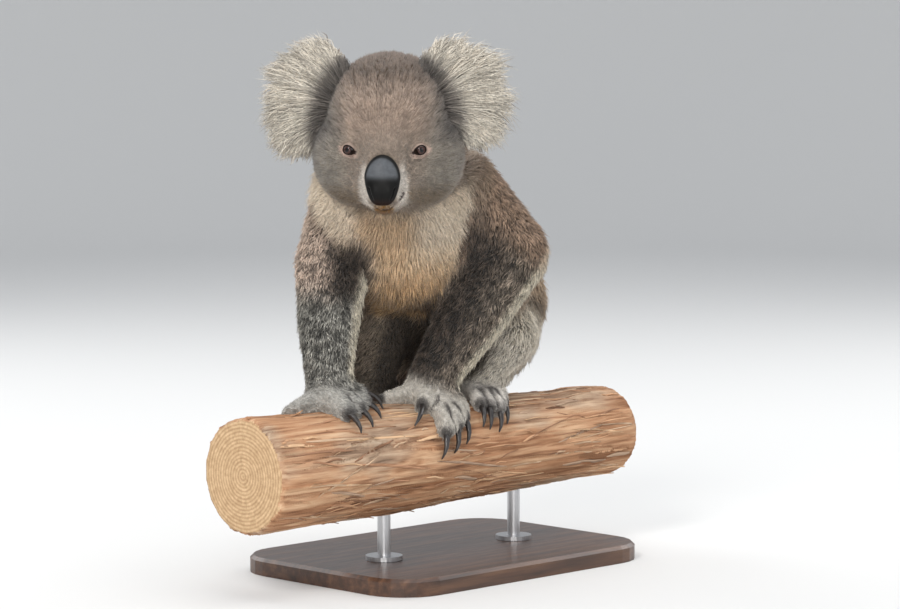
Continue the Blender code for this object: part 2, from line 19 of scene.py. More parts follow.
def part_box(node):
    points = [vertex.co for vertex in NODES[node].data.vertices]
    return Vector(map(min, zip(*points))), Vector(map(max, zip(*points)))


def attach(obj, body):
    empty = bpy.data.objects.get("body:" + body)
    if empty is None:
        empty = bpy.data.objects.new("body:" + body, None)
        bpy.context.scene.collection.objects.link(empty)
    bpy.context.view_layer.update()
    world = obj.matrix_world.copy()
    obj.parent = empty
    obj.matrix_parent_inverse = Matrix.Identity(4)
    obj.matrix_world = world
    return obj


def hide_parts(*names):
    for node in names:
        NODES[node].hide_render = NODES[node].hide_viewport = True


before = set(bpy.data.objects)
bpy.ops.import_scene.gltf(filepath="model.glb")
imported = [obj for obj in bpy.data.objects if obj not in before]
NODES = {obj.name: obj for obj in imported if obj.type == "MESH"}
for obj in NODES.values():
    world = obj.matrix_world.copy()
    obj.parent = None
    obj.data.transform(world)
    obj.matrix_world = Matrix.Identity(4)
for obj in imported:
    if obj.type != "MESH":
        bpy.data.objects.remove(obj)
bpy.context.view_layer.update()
SCENE = bpy.context.scene
MM = 0.001
RNG = np.random.default_rng(11)
SIDES = ("right", "left")
UP = np.array([0, 0, 1.0])

# ---- Places

HEAD_YAW = math.radians(-4)
HEAD_PITCH = math.radians(2)
EYES_IN_HEAD = (0.0, -43.5, -12.0)
HEAD_OVER_BRANCH = (-55.0, -52.0, 247.0)
BRANCH_YAW = math.radians(45)
BRANCH_RADIUS = 48.0


def centre_of(node):
    low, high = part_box(node)
    return np.array((low + high) / 2)


HEAD_TURN = np.array(Matrix.Rotation(HEAD_YAW, 3, "Z") @ Matrix.Rotation(HEAD_PITCH, 3, "X"))
EYES = {side: centre_of("eye_" + side) for side in SIDES}
NOSE_CENTRE = centre_of("nose")
HEAD_CENTRE = (EYES["right"] + EYES["left"]) / 2 - HEAD_TURN @ (np.array(EYES_IN_HEAD) * MM)
BRANCH_TOP = HEAD_CENTRE - np.array(HEAD_OVER_BRANCH) * MM
BRANCH_AXIS = BRANCH_TOP - np.array([0, 0, BRANCH_RADIUS * MM])
ALONG = np.array([math.cos(BRANCH_YAW), math.sin(BRANCH_YAW), 0.0])
ACROSS = np.array([math.sin(BRANCH_YAW), -math.cos(BRANCH_YAW), 0.0])


def in_head(side, forward, up):
    return HEAD_CENTRE + HEAD_TURN @ (np.array([side, -forward, up]) * MM)


def head_coords(points):
    """Columns (side, forward, up)."""
    return (points - HEAD_CENTRE) / MM @ HEAD_TURN * (1, -1, 1)


def body_coords(points):
    return (points - BRANCH_TOP) / MM


def size(vectors):
    return np.linalg.norm(vectors, axis=-1)


def unit(vectors):
    return vectors / np.maximum(size(vectors)[..., None], 1e-12)


def from_eyes(points):
    """Millimetres from the nearer eye's centre."""
    return np.min([size(points - eye) for eye in EYES.values()], axis=0) / MM


def step(low, high, value):
    """0 below low, 1 above high, smooth between; low may be the larger."""
    t = np.clip((value - low) / (high - low), 0, 1)
    return t * t * (3 - 2 * t)


def bell(value, middle, width):
    return np.exp(-(((value - middle) / width) ** 2))


def mixed(first, second, share):
    share = np.asarray(share)[:, None]
    return np.asarray(first, float) * (1 - share) + np.asarray(second, float) * share


def layered(colours, *layers):
    """Colours under (colour, share) layers, the lowest first."""
    for colour, share in layers:
        colours = mixed(colours, colour, share)
    return colours


def raised(points, directions, height):
    """Points moved along their directions by heights in millimetres."""
    return points + directions * (height * MM)[:, None]


def linear(srgb):
    """Linear colours from display values."""
    value = np.clip(np.asarray(srgb, float) / 255, 0, 1)
    return np.where(value <= 0.04045, value / 12.92, ((value + 0.055) / 1.055) ** 2.4)


COAT_GAIN = 1.22
BRIGHTEST = 0.97


def capped(colours):
    """Linear colours brought under the brightest that fur has, with their hue kept."""
    return colours / np.maximum(colours.max(axis=-1, keepdims=True) / BRIGHTEST, 1)


# ---- Objects and materials


def read(items, name, width, kind=np.float32):
    """One attribute of a mesh's items, as rows."""
    flat = np.empty(len(items) * width, kind)
    items.foreach_get(name, flat)
    return flat.reshape(-1, width)


def coordinates(mesh):
    return read(mesh.vertices, "co", 3).astype(float)


def triangles(mesh):
    mesh.calc_loop_triangles()
    return read(mesh.loop_triangles, "vertices", 3, np.int32)


def move_to(mesh, points):
    mesh.vertices.foreach_set("co", np.ascontiguousarray(points, np.float32).ravel())
    mesh.update()


def mesh_from(name, points, faces):
    mesh = bpy.data.meshes.new(name)
    mesh.from_pydata(points, [], faces)
    mesh.validate()
    return mesh


@contextmanager
def edited(mesh):
    bm = bmesh.new()
    bm.from_mesh(mesh)
    yield bm
    bm.to_mesh(mesh)
    bm.free()


def ball(name, spokes, rings):
    """A ball of radius 1."""
    mesh = bpy.data.meshes.new(name)
    with edited(mesh) as bm:
        bmesh.ops.create_uvsphere(bm, u_segments=spokes, v_segments=rings, radius=1)
    return mesh


def loft(low, count):
    """Faces from the ring of points that starts at low to the ring after it."""
    turns = [(k, (k + 1) % count) for k in range(count)]
    return [(low + k, low + count + k, low + count + after, low + after) for k, after in turns]


def linked(thing):
    SCENE.collection.objects.link(thing)
    return thing


def reshaped(source, **modifiers):
    """A copy of a mesh after modifiers, given as type=settings."""
    thing = linked(bpy.data.objects.new("work", source.copy()))
    for kind, settings in modifiers.items():
        modifier = thing.modifiers.new(kind, kind)
        for name, value in settings.items():
            setattr(modifier, name, value)
    bpy.context.view_layer.update()
    made = bpy.data.meshes.new_from_object(thing.evaluated_get(bpy.context.evaluated_depsgraph_get()))
    bpy.data.objects.remove(thing)
    return made


def remeshed(node, voxel):
    """A node's solid in small even faces with softened edges."""
    remesh = {"mode": "VOXEL", "voxel_size": voxel}
    return reshaped(NODES[node].data, REMESH=remesh, SMOOTH={"factor": 0.5, "iterations": 8})


def bevelled(node, width, segments, angle):
    limit = {"limit_method": "ANGLE", "angle_limit": math.radians(angle)}
    return reshaped(NODES[node].data, BEVEL={"width": width, "segments": segments, **limit})


def paint(mesh, colours):
    """A linear colour for each vertex, which the materials read as coat_colour."""
    layer = mesh.color_attributes.new("coat_colour", "FLOAT_COLOR", "POINT")
    rgba = np.ones((len(colours), 4), np.float32)
    rgba[:, :3] = colours
    layer.data.foreach_set("color", rgba.ravel())


def dress(name, mesh, slot, material, *nodes, sharp=None):
    """A smooth piece that rides on the body, takes the material given and stands for the CAD nodes named;
    slot is not used.
    """
    mesh.materials.clear()
    mesh.materials.append(material)
    mesh.shade_smooth()
    if sharp:
        mesh.set_sharp_from_angle(angle=math.radians(sharp))
    made = linked(bpy.data.objects.new(name, mesh))
    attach(made, "root")
    if nodes:
        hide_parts(*nodes)


class Shader:
    """A material's node tree, wired a node at a time. Sockets are named with _ for each space."""

    def __init__(self, name, roughness, **constants):
        self.material = bpy.data.materials.new(name)
        self.material.use_nodes = True
        self.tree = self.material.node_tree
        self.surface = self.tree.nodes["Principled BSDF"]
        self.put(self.surface, Roughness=roughness, **constants)

    def put(self, node, **sockets):
        """Sets a node's inputs, by name or as _0, _1 by number, to constants or other nodes' outputs."""
        for name, value in sockets.items():
            socket = node.inputs[int(name[1:]) if name[0] == "_" else name.replace("_", " ")]
            if isinstance(value, bpy.types.NodeSocket):
                self.tree.links.new(value, socket)
            else:
                socket.default_value = value

    def add(self, kind, settings=None, **sockets):
        made = self.tree.nodes.new("ShaderNode" + kind)
        for name, value in (settings or {}).items():
            setattr(made, name, value)
        self.put(made, **sockets)
        return made

    def places(self, scale=(1, 1, 1), turn=0.0, start=(0, 0, 0)):
        """Object coordinates from a start, turned about the vertical and then scaled."""
        source = self.add("TexCoord").outputs["Object"]
        moved = self.add("VectorMath", {"operation": "SUBTRACT"}, _0=source, _1=start).outputs["Vector"]
        turned = self.add("Mapping", Vector=moved, Rotation=(0, 0, turn)).outputs["Vector"]
        return self.add("Mapping", Vector=turned, Scale=scale).outputs["Vector"]

    def noise(self, vector, scale, detail, roughness=0.55):
        made = self.add("TexNoise", Vector=vector, Scale=scale, Detail=detail, Roughness=roughness)
        return made.outputs["Fac"]

    def fibres(self, scale, detail, roughness=0.55):
        """Noise drawn out along the branch."""
        return self.noise(self.places(scale, -BRANCH_YAW), 1.0, detail, roughness)

    def painted(self):
        return self.add("Attribute", {"attribute_name": "coat_colour"}).outputs["Color"]

    def ramp(self, value, *stops):
        """A colour for each (place, display colour) stop."""
        made = self.add("ValToRGB", Fac=value)
        held = made.color_ramp.elements
        while len(held) < len(stops):
            held.new(0.5)
        for element, (spot, colour) in zip(held, stops):
            element.position = spot
            element.color = (*linear(colour), 1)
        return made.outputs["Color"]

    def mix(self, first, second, share, blend="MIX"):
        settings = {"data_type": "RGBA", "blend_type": blend}
        return self.add("Mix", settings, _0=share, _6=first, _7=second).outputs[2]

    def colour(self, socket):
        self.put(self.surface, Base_Color=socket)

    def tinted(self, colour, value, *stops):
        """The surface's colour: one colour times a ramp of tones."""
        self.colour(self.mix(colour, self.ramp(value, *stops), 1.0, "MULTIPLY"))

    def rough(self, value, low, high):
        """Roughness from low to high as the value goes from 0 to 1."""
        made = self.add("MapRange", Value=value, To_Min=low, To_Max=high)
        self.put(self.surface, Roughness=made.outputs["Result"])

    def bump(self, height, strength, distance):
        made = self.add("Bump", Height=height, Strength=strength, Distance=distance)
        self.put(self.surface, Normal=made.outputs["Normal"])


WHITE = (255, 255, 255)


def coat_material(name, roughness, sheen):
    """Hair or skin that takes its colours, painted shade among them, from coat_colour, with a fine uneven
    tone.
    """
    shader = Shader(name, roughness, Sheen_Weight=sheen, Sheen_Roughness=0.5, Specular_IOR_Level=0.25)
    painted = shader.painted()
    tone = shader.noise(shader.places(), 420, 3)
    shader.tinted(painted, tone, (0.25, (205, 205, 205)), (0.75, WHITE))
    shader.bump(tone, 0.25, 0.0006)
    return shader.material


# ---- Skin

SKIN_VOXEL = 2.1 * MM
# Smoothing passes: of the joined solids, of them at the paws, of the labels' joins, and of the coat's depth.
BODY_PASSES = 36
PAW_PASSES = 6
JOIN_PASSES = 24
DEPTH_PASSES = 10
# Skin this near to an eye, the mouth or a digit has finer faces.
EYE_DETAIL = 17 * MM
MOUTH_DETAIL = 34 * MM
DIGIT_DETAIL = 12 * MM
PARTS = ("head", "neck", "trunk", "upper_arm", "forearm", "hand", "thigh", "shank", "foot")
LABELS = PARTS[:3] + tuple(f"{part}_{side}" for part in PARTS[3:] for side in SIDES)
PAWS = [f"{limb}_{side}" for limb in ("hand", "foot") for side in SIDES]
# Coat of each part in millimetres: depth over the skin, tuft length and width, lift in degrees,
# and tufts for each square millimetre.
COAT = {
    "head": (3.4, 6.6, 0.70, 27, 1.15),
    "neck": (6.0, 13.0, 1.20, 32, 0.48),
    "trunk": (6.0, 12.5, 1.40, 31, 0.33),
    "upper_arm": (4.6, 9.5, 1.15, 31, 0.50),
    "forearm": (3.6, 7.6, 0.98, 31, 0.62),
    "hand": (0.9, 3.8, 0.60, 20, 1.25),
    "thigh": (5.0, 11.0, 1.25, 30, 0.40),
    "shank": (3.6, 8.5, 1.05, 28, 0.52),
    "foot": (0.9, 3.8, 0.60, 20, 1.25),
}
HEAD_BACK_COAT = (4.5, 10, 0.95, 30, 0.75)
FACE_COAT = (0.9, 2.9, 0.44, 18, 2.3)


def part_of(label):
    return label.rsplit("_", 1)[0] if label not in PARTS else label


def by_label(weights):
    return dict(zip(LABELS, weights.T))


def flesh():
    """The flesh nodes as one mesh, and each face's label."""
    points, faces, labels = [], [], []
    for index, label in enumerate(LABELS):
        mesh = NODES[label].data
        start = len(points)
        points += [vert.co.copy() for vert in mesh.vertices]
        faces += [[start + v for v in face.vertices] for face in mesh.polygons]
        labels += [index] * len(mesh.polygons)
    return points, faces, np.array(labels)


class Surface:
    """A mesh's points, edges and triangles, with the fields that lie on them."""

    def __init__(self, mesh):
        self.mesh = mesh
        self.points = coordinates(mesh)
        self.edges = read(mesh.edges, "vertices", 2, np.int32)
        self.triangles = triangles(mesh)
        self.valence = np.maximum(np.bincount(self.edges.ravel(), minlength=len(self.points)), 1)

    def neighbours_mean(self, values):
        a, b = self.edges.T
        total = np.empty_like(values)
        for column in range(values.shape[1]):
            sums = np.bincount(a, values[b, column], len(values))
            total[:, column] = sums + np.bincount(b, values[a, column], len(values))
        return total / self.valence[:, None]

    def diffuse(self, values, passes, share=0.5):
        for _ in range(passes):
            values = values + share * (self.neighbours_mean(values) - values)
        return values

    def corners(self):
        return (self.points[self.triangles[:, k]] for k in range(3))

    def normals(self):
        a, b, c = self.corners()
        faces = np.cross(b - a, c - a)
        total = np.empty_like(self.points)
        for axis in range(3):
            at_corners = [np.bincount(corner, faces[:, axis], len(total)) for corner in self.triangles.T]
            total[:, axis] = sum(at_corners)
        return unit(total)

    def keep(self):
        move_to(self.mesh, self.points)


def label_weights(surface, tree, face_labels, passes):
    """How far each point belongs to each label, blended across the joins."""
    nearest = [tree.find_nearest(Vector(point))[2] for point in surface.points]
    weights = np.zeros((len(surface.points), len(LABELS)))
    weights[np.arange(len(nearest)), face_labels[nearest]] = 1
    return surface.diffuse(weights, passes, 0.9)


def bib_share(points, normals):
    """The pale chest: broad under the jaw, narrow above the belly."""
    x, y, z = body_coords(points).T
    down = np.clip((200 - z) / 116, 0, 1)
    middle = -53 + 9 * down
    half_width = 69 - 48 * down**1.35
    inside = step(1.10, 0.90, np.abs(x - middle) / half_width) * step(76, 88, z) * step(236, 214, z)
    facing = step(0.75, 0.35, normals[:, 1])
    return inside * facing * step(50, 28, y + 0.7 * np.maximum(z - 180, 0))


def coat_fields(points, normals, weights):
    """Depth, length, width, lift and density of the coat at each point, in COAT's order."""
    table = np.array([COAT[part_of(label)] for label in LABELS])
    fields = weights @ table / weights.sum(axis=1, keepdims=True)
    part = by_label(weights)
    head = part["head"]
    face = head * (1 - step(20, 85, size(points - NOSE_CENTRE) / MM)) ** 0.8
    face = np.maximum(face, head * 0.8 * (1 - step(8, 22, from_eyes(points))))
    fields = mixed(fields, HEAD_BACK_COAT, head * step(5, -30, head_coords(points)[:, 1]))
    fields = mixed(fields, FACE_COAT, face)
    bib = bib_share(points, normals) * (1 - head)
    fields[:, 1] *= 1 + 0.35 * bib
    fields[:, 2] *= 1 - 0.20 * bib
    fields[:, 3] -= 4 * bib
    fields[:, 4] *= 1 + 0.75 * bib
    low = step(80, 55, body_coords(points)[:, 2])
    fields[:, 1] *= 1 + part["trunk"] * step(-0.1, -0.5, normals[:, 2]) * low
    return fields


def refine(mesh, inside, levels):
    """Splits the faces whose centres the test takes, once for each level."""
    with edited(mesh) as bm:
        for level in range(levels):
            chosen = [face for face in bm.faces if inside(face.calc_center_median(), level)]
            rims = list({edge for face in chosen for edge in face.edges})
            bmesh.ops.subdivide_edges(bm, edges=rims, cuts=1, use_grid_fill=True)
        bmesh.ops.triangulate(bm, faces=[face for face in bm.faces if len(face.verts) > 4])


def claws_of(paw=""):
    return sorted(node for node in NODES if node.startswith("claw_" + paw))


def digits_of(paw):
    """Each digit's line from the palm to the root of its claw."""
    palm = centre_of(paw)
    lines = []
    for node in claws_of(paw):
        points = coordinates(NODES[node].data)
        tip = points[size(points - palm).argmax()]
        back = size(points - tip)
        root = points[back > 0.8 * back.max()].mean(axis=0)
        lines.append((palm + 0.3 * (root - palm), root))
    return lines


DIGITS = {paw: digits_of(paw) for paw in PAWS}
DIGIT_LINES = [line for lines in DIGITS.values() for line in lines]
CLAW_ROOTS = np.array([root for _, root in DIGIT_LINES])
DIGIT_GROOVE = 2.6


def near_digits(points, paw):
    """How far along its digit a point lies, its millimetres from it, and how much farther the next one is."""
    shares, reaches = [], []
    for start, end in DIGITS[paw]:
        line = end - start
        share = np.clip((points - start) @ line / (line @ line), 0, 1.15)
        shares.append(share)
        reaches.append(size(points - start - share[:, None] * line) / MM)
    shares, reaches = np.array(shares), np.array(reaches)
    order = reaches.argsort(axis=0)
    rows = np.arange(len(points))
    first = reaches[order[0], rows]
    return shares[order[0], rows], first, reaches[order[1], rows] - first


def sculpt_digits(points, normals, weights):
    """Grooves between the digits and a little swell on each."""
    moved = points.copy()
    for paw in PAWS:
        mine = np.flatnonzero(by_label(weights)[paw] > 0.3)
        share, first, gap = near_digits(points[mine], paw)
        held = step(0.12, 0.5, share) * step(15, 11, first)
        rise = 0.5 * bell(gap, 6, 3.5) - DIGIT_GROOVE * bell(gap, 0, 1.7)
        moved[mine] = raised(moved[mine], normals[mine], rise * held)
    return moved


EYE_RADIUS = 6.6
LID_HALF_WIDTH = 5.0
LID_HALF_HEIGHT = 4.3
LID_CORNER = 6.0
LID_TILT = math.radians(22)


def eye_axes(side):
    """The eye's level, upright and outward directions, tilted to lower the corner by the nose."""
    sign = 1 if side == "left" else -1
    outward = unit(HEAD_TURN @ (sign * 0.34, -0.94, 0.03))
    level = unit(np.cross(UP, outward)) * sign
    upright = unit(np.cross(outward, level)) * sign
    across = level * math.cos(LID_TILT) + upright * math.sin(LID_TILT)
    return across, upright * math.cos(LID_TILT) - level * math.sin(LID_TILT), outward


def eye_local(points, side):
    """Columns (outer, up, out) in millimetres from the eye's centre."""
    away = (points - EYES[side]) / MM
    return np.stack([away @ axis for axis in eye_axes(side)], axis=1)


def lid_measure(local):
    """1 on the lids' edge, less inside the opening; the upper lid is the flatter."""
    height = np.where(local[:, 1] > 0, LID_HALF_HEIGHT, LID_HALF_HEIGHT * 0.92)
    width = np.where(local[:, 0] > 0, LID_HALF_WIDTH, LID_CORNER)
    return np.sqrt((local[:, 0] / width) ** 2 + (local[:, 1] / height) ** 2)


def sculpt_lids(points, side):
    """Lays the skin round an eye: two lids on the ball with a fold, and the skin inside tucked behind."""
    local = eye_local(points, side)
    out = local[:, 2]
    flat = np.hypot(local[:, 0], local[:, 1])
    near = (flat < 17) & (out > -9) & (out < 22)
    measure = lid_measure(local)
    round_ball = np.sqrt(np.maximum(EYE_RADIUS**2 - np.minimum(flat, EYE_RADIUS) ** 2, 0))
    rim = np.maximum(round_ball, 1.2) + 0.9
    fold = 0.7 * bell(measure, 1.75, 0.22) * np.where(local[:, 1] > 0, 1, 0.6)
    lid = rim + fold - 0.6 * bell(measure, 1.42, 0.13)
    target = np.where(measure < 1, round_ball - 2.4, lid)
    share = np.where(measure < 1, 1, step(2.7, 1.5, measure))
    new = out + share * (target - out)
    moved = points + np.outer((new - out) * MM, eye_axes(side)[2])
    return np.where(near[:, None], moved, points)


MOUTH_HALF_WIDTH = 15.0


def mouth_distance(local):
    """Millimetres above the mouth's line, and how far along it a head point lies: 0 middle, 1 corner."""
    along = np.abs(local[:, 0]) / MOUTH_HALF_WIDTH
    line = -64.5 + 10 * np.minimum(along, 1.2) ** 1.8
    return local[:, 2] - line, along


def from_corner(local):
    """Millimetres from the mouth's left corner, the one that the photo shows."""
    above, _ = mouth_distance(local)
    return np.hypot(local[:, 0] - MOUTH_HALF_WIDTH - 1, above - 1)


def sculpt_muzzle(points):
    """Brings the upper lip forward under the nose pad."""
    side, forward, up = head_coords(points).T
    push = 9.0 * np.exp(-(((up + 59) / 6) ** 2) - (side / 11) ** 2) * step(44, 55, forward)
    return points + np.outer(push * MM, HEAD_TURN @ (0, -1, 0))


def sculpt_mouth(points, normals):
    """Cuts the line of the mouth between two lips, and the cleft above it."""
    local = head_coords(points)
    above, along = mouth_distance(local)
    front = step(30, 44, local[:, 1]) * step(1.25, 0.95, along)
    lips = 0.9 * bell(above, 2.6, 1.7) + 0.8 * bell(above, -2.8, 2.0)
    cleft = bell(local[:, 0], 0, 1.0) * step(-1, 1, above) * step(9, 5, above)
    return raised(points, normals, (lips - 2.0 * bell(above, 0, 1.0) - cleft) * front)


PAW_SINK = 0.6


def settled(points, normals):
    """Lays the undersides of the paws on the branch."""
    away = points - BRANCH_AXIS
    away = away - np.outer(away @ ALONG, ALONG)
    height = size(away) / MM - BRANCH_RADIUS
    facing = step(-0.2, -0.6, (unit(away) * normals).sum(axis=1))
    share = step(7, 5, height) * facing * (away[:, 2] > 0)
    return raised(points, unit(away), -share * np.maximum(height + PAW_SINK, 0))


def tree_of(points):
    """A search tree of points, which gives back a point's row."""
    tree = KDTree(len(points))
    for index, point in enumerate(points):
        tree.insert(Vector(point), index)
    tree.balance()
    return tree


def make_skin():
    """One skin, inside the flesh nodes by the coat's depth, with finer faces and forms where they show."""
    points, faces, face_labels = flesh()
    tree = BVHTree.FromPolygons(points, faces)
    mesh = reshaped(mesh_from("joined", points, faces), REMESH={"mode": "VOXEL", "voxel_size": SKIN_VOXEL})
    surface = Surface(mesh)
    weights = label_weights(surface, tree, face_labels, PAW_PASSES)
    paws = sum(by_label(weights)[paw] for paw in PAWS)
    surface.points = surface.diffuse(surface.points, PAW_PASSES)
    surface.points = surface.diffuse(surface.points, BODY_PASSES - PAW_PASSES, 0.5 * (1 - paws)[:, None])
    weights = surface.diffuse(weights, JOIN_PASSES - PAW_PASSES, 0.9)
    normals = surface.normals()
    depth = surface.diffuse(coat_fields(surface.points, normals, weights)[:, :1], DEPTH_PASSES)
    sole = step(-0.3, -0.7, normals[:, 2]) * step(26, 12, body_coords(surface.points)[:, 2])
    surface.points = raised(surface.points, normals, -depth[:, 0] * (1 - 0.8 * sole))
    surface.keep()

    eyes = [Vector(EYES[side]) for side in SIDES]
    mouth = Vector(in_head(0, 52, -58))
    fingers = tree_of([start + (root - start) * k / 3 for start, root in DIGIT_LINES for k in (1, 2, 3)])

    def wants_detail(spot, level):
        if min((spot - eye).length for eye in eyes) < EYE_DETAIL - 5 * level * MM:
            return True
        return level == 0 and ((spot - mouth).length < MOUTH_DETAIL or fingers.find(spot)[2] < DIGIT_DETAIL)

    refine(mesh, wants_detail, 2)
    surface = Surface(mesh)
    surface.points = settled(surface.points, surface.normals())
    for side in SIDES:
        surface.points = sculpt_lids(surface.points, side)
    ease = (from_eyes(surface.points) < 18)[:, None] * 0.35
    surface.points = surface.diffuse(surface.points, 2, ease)
    surface.points = sculpt_muzzle(surface.points)
    surface.points = sculpt_mouth(surface.points, surface.normals())
    weights = label_weights(surface, tree, face_labels, JOIN_PASSES)
    surface.points = sculpt_digits(surface.points, surface.normals(), weights)
    surface.keep()
    surface.weights = weights / weights.sum(axis=1, keepdims=True)
    surface.normal = surface.normals()
    surface.fields = coat_fields(surface.points, surface.normal, surface.weights)
    return surface


# ---- Markings and painted shade

CROWN = (120, 103, 89)
NAPE = (152, 133, 115)
FOREHEAD = (178, 158, 142)
TEMPLE = (136, 128, 118)
CHEEK = (156, 147, 135)
NEAR_NOSE = (240, 232, 222)
JAW = (138, 120, 98)
CHIN = (158, 118, 70)
FURROW = (96, 89, 83)
# Dark bare skin at the claws' roots, also used as painted shade in the creases between the digits.
CLAW_SKIN_AND_CREASE_SHADE = (62, 58, 56)
# Painted shade in the crease where each arm's inner front meets the chest.
ARM_SHADE = (50, 42, 36)
# Painted shade: the legs' inner sides, deep between the arms.
INNER_LEG_PAINTED_SHADE = (50, 42, 34)
LID = (214, 188, 174)
LID_EDGE = (46, 32, 28)
MOUTH = (50, 36, 32)
BIB = (255, 239, 216)
# The bib's middle: a yellowish stain, darkened as the head's painted shadow.
BIB_TAN_AND_HEAD_SHADOW = (216, 176, 130)
# Painted shade with a yellowish-brown stain: the bib darker towards its bottom.
BIB_LOW_TAN_AND_SHADE = (160, 128, 88)
UPPER_ARM = (198, 178, 162)
# Two dark brown spots low on the bib, one at each side.
LOW_BIB_DARK_SPOT = (92, 74, 58)
# The belly's brown, painted near black: painted shade under the chest and between the arms.
BELLY_BROWN_IN_PAINTED_SHADE = (38, 30, 23)
BACK_TAN = (186, 162, 134)
RUMP = (184, 174, 158)
FRINGE = (252, 242, 220)
# How uneven the tone of each part's tufts is, and its colour, or its right and left colours.
PART_LOOKS = {
    "head": (0.18, (156, 141, 127)),
    "neck": (0.10, (156, 138, 121)),
    "trunk": (0.16, (158, 138, 118)),
    "upper_arm": (0.24, (206, 186, 170), (150, 127, 108)),
    "forearm": (0.56, (128, 126, 119), (112, 102, 91)),
    "hand": (0.20, (200, 197, 190), (228, 222, 212)),
    "thigh": (0.16, (150, 136, 119), (222, 213, 197)),
    "shank": (0.20, (132, 119, 104), (230, 222, 208)),
    "foot": (0.20, (206, 200, 192), (250, 244, 236)),
}
LABEL_COLOURS = np.array([colour for part in PARTS for colour in PART_LOOKS[part][1:]], float)
SPECKLES = np.array([PART_LOOKS[part_of(label)][0] for label in LABELS])


def body_layers(place, normals, part, right_arm, bib):
    """(Colour, share) on the trunk and limbs, the lowest layer first."""
    x, y, z = place.T
    trunk = part["trunk"] + part["neck"]
    front = step(0.2, -0.3, normals[:, 1])
    under = np.maximum(front, step(0, -0.6, normals[:, 2])) * step(90, 55, y)
    # The bib's stained middle and low part, where the head's shadow is painted too.
    tan_and_head_shadow = np.maximum(step(168, 112, z), 0.75 * step(34, 12, np.abs(x + 57)))
    layers = [
        (BACK_TAN, trunk * step(0.1, 0.8, normals[:, 0]) * step(60, 130, z) * 0.7),
        (RUMP, trunk * step(70, 130, y) * step(120, 60, z) * 0.8),
        # Painted shade: the lower trunk's front and underside.
        (BELLY_BROWN_IN_PAINTED_SHADE, trunk * step(100, 80, z) * under),
        (UPPER_ARM, right_arm * step(88, 122, z) * step(0.6, 0.0, normals[:, 0])),
        (BIB, bib),
        (BIB_TAN_AND_HEAD_SHADOW, bib * tan_and_head_shadow * 0.9),
        # Painted shade and stain low on the bib.
        (BIB_LOW_TAN_AND_SHADE, bib * step(122, 92, z) * 0.8),
    ]
    # Two dark brown spots low on the bib, where it meets the arms.
    for spot_x in (-74, -20):
        away = (((place - (spot_x, -40, 93)) / (12, 70, 10)) ** 2).sum(axis=1)
        layers.append((LOW_BIB_DARK_SPOT, np.exp(-away) * front))
    for side, inward in (("right", 0.75), ("left", -0.75)):
        lower = np.maximum(0.9 * (side == "left"), step(90, 112, z))
        arm = np.clip(part["upper_arm_" + side] + lower * part["forearm_" + side], 0, 1)
        leg = np.clip(part["thigh_" + side] + part["shank_" + side], 0, 1)
        layers += [
            # Painted shade on the arm's inner front.
            (ARM_SHADE, arm * step(0.15, 0.80, normals @ (inward, -0.55, 0)) * 0.9),
            # Painted shade on the leg's inner side.
            (INNER_LEG_PAINTED_SHADE, leg * step(-0.1, 0.5, normals[:, 0] * np.sign(inward)) * 0.9),
        ]
    left_fore = np.clip(part["forearm_left"] + 0.6 * part["upper_arm_left"], 0, 1)
    return layers + [
        (FRINGE, left_fore * step(0.45, 0.78, normals @ (0.78, 0.2, -0.6))),
        (FRINGE, part["forearm_right"] * step(0.72, 0.95, normals @ (0.93, -0.2, -0.3))),
    ]


def head_layers(local, head):
    side, forward, up = local.T
    out = np.abs(side)
    face = head * step(0, 30, forward)
    ring = np.hypot((out - 16) / 5, (up + 44) / 18)
    layers = [
        (TEMPLE, face * step(30, 52, out) * step(40, 15, up)),
        (FOREHEAD, face * step(-16, 12, up) * step(66, 34, up) * step(50, 26, out)),
        (CROWN, head * np.maximum(step(34, 56, up), step(20, -20, forward))),
        (NAPE, head * step(12, -40, forward) * 0.8),
        (CHEEK, face * step(24, 46, out) * step(10, -15, up)),
        (JAW, face * step(-38, -56, up) * step(16, 26, out) * 0.9),
        (NEAR_NOSE, face * step(1.5, 0.6, ring) * 0.9),
        (NEAR_NOSE, face * step(17, 12, out) * step(-56, -62, up) * 0.6),
        (CHIN, face * step(10, 6, out) * step(-58, -61, up)),
    ]
    for sign, lean in ((-1, 60), (1, 57)):
        inner = side * sign - (lean - 0.32 * np.maximum(up - 20, 0) ** 1.05)
        layers.append((FURROW, head * (bell(inner, 0, 9) * step(-16, 8, up) * step(-26, -6, forward)) * 0.9))
    return layers


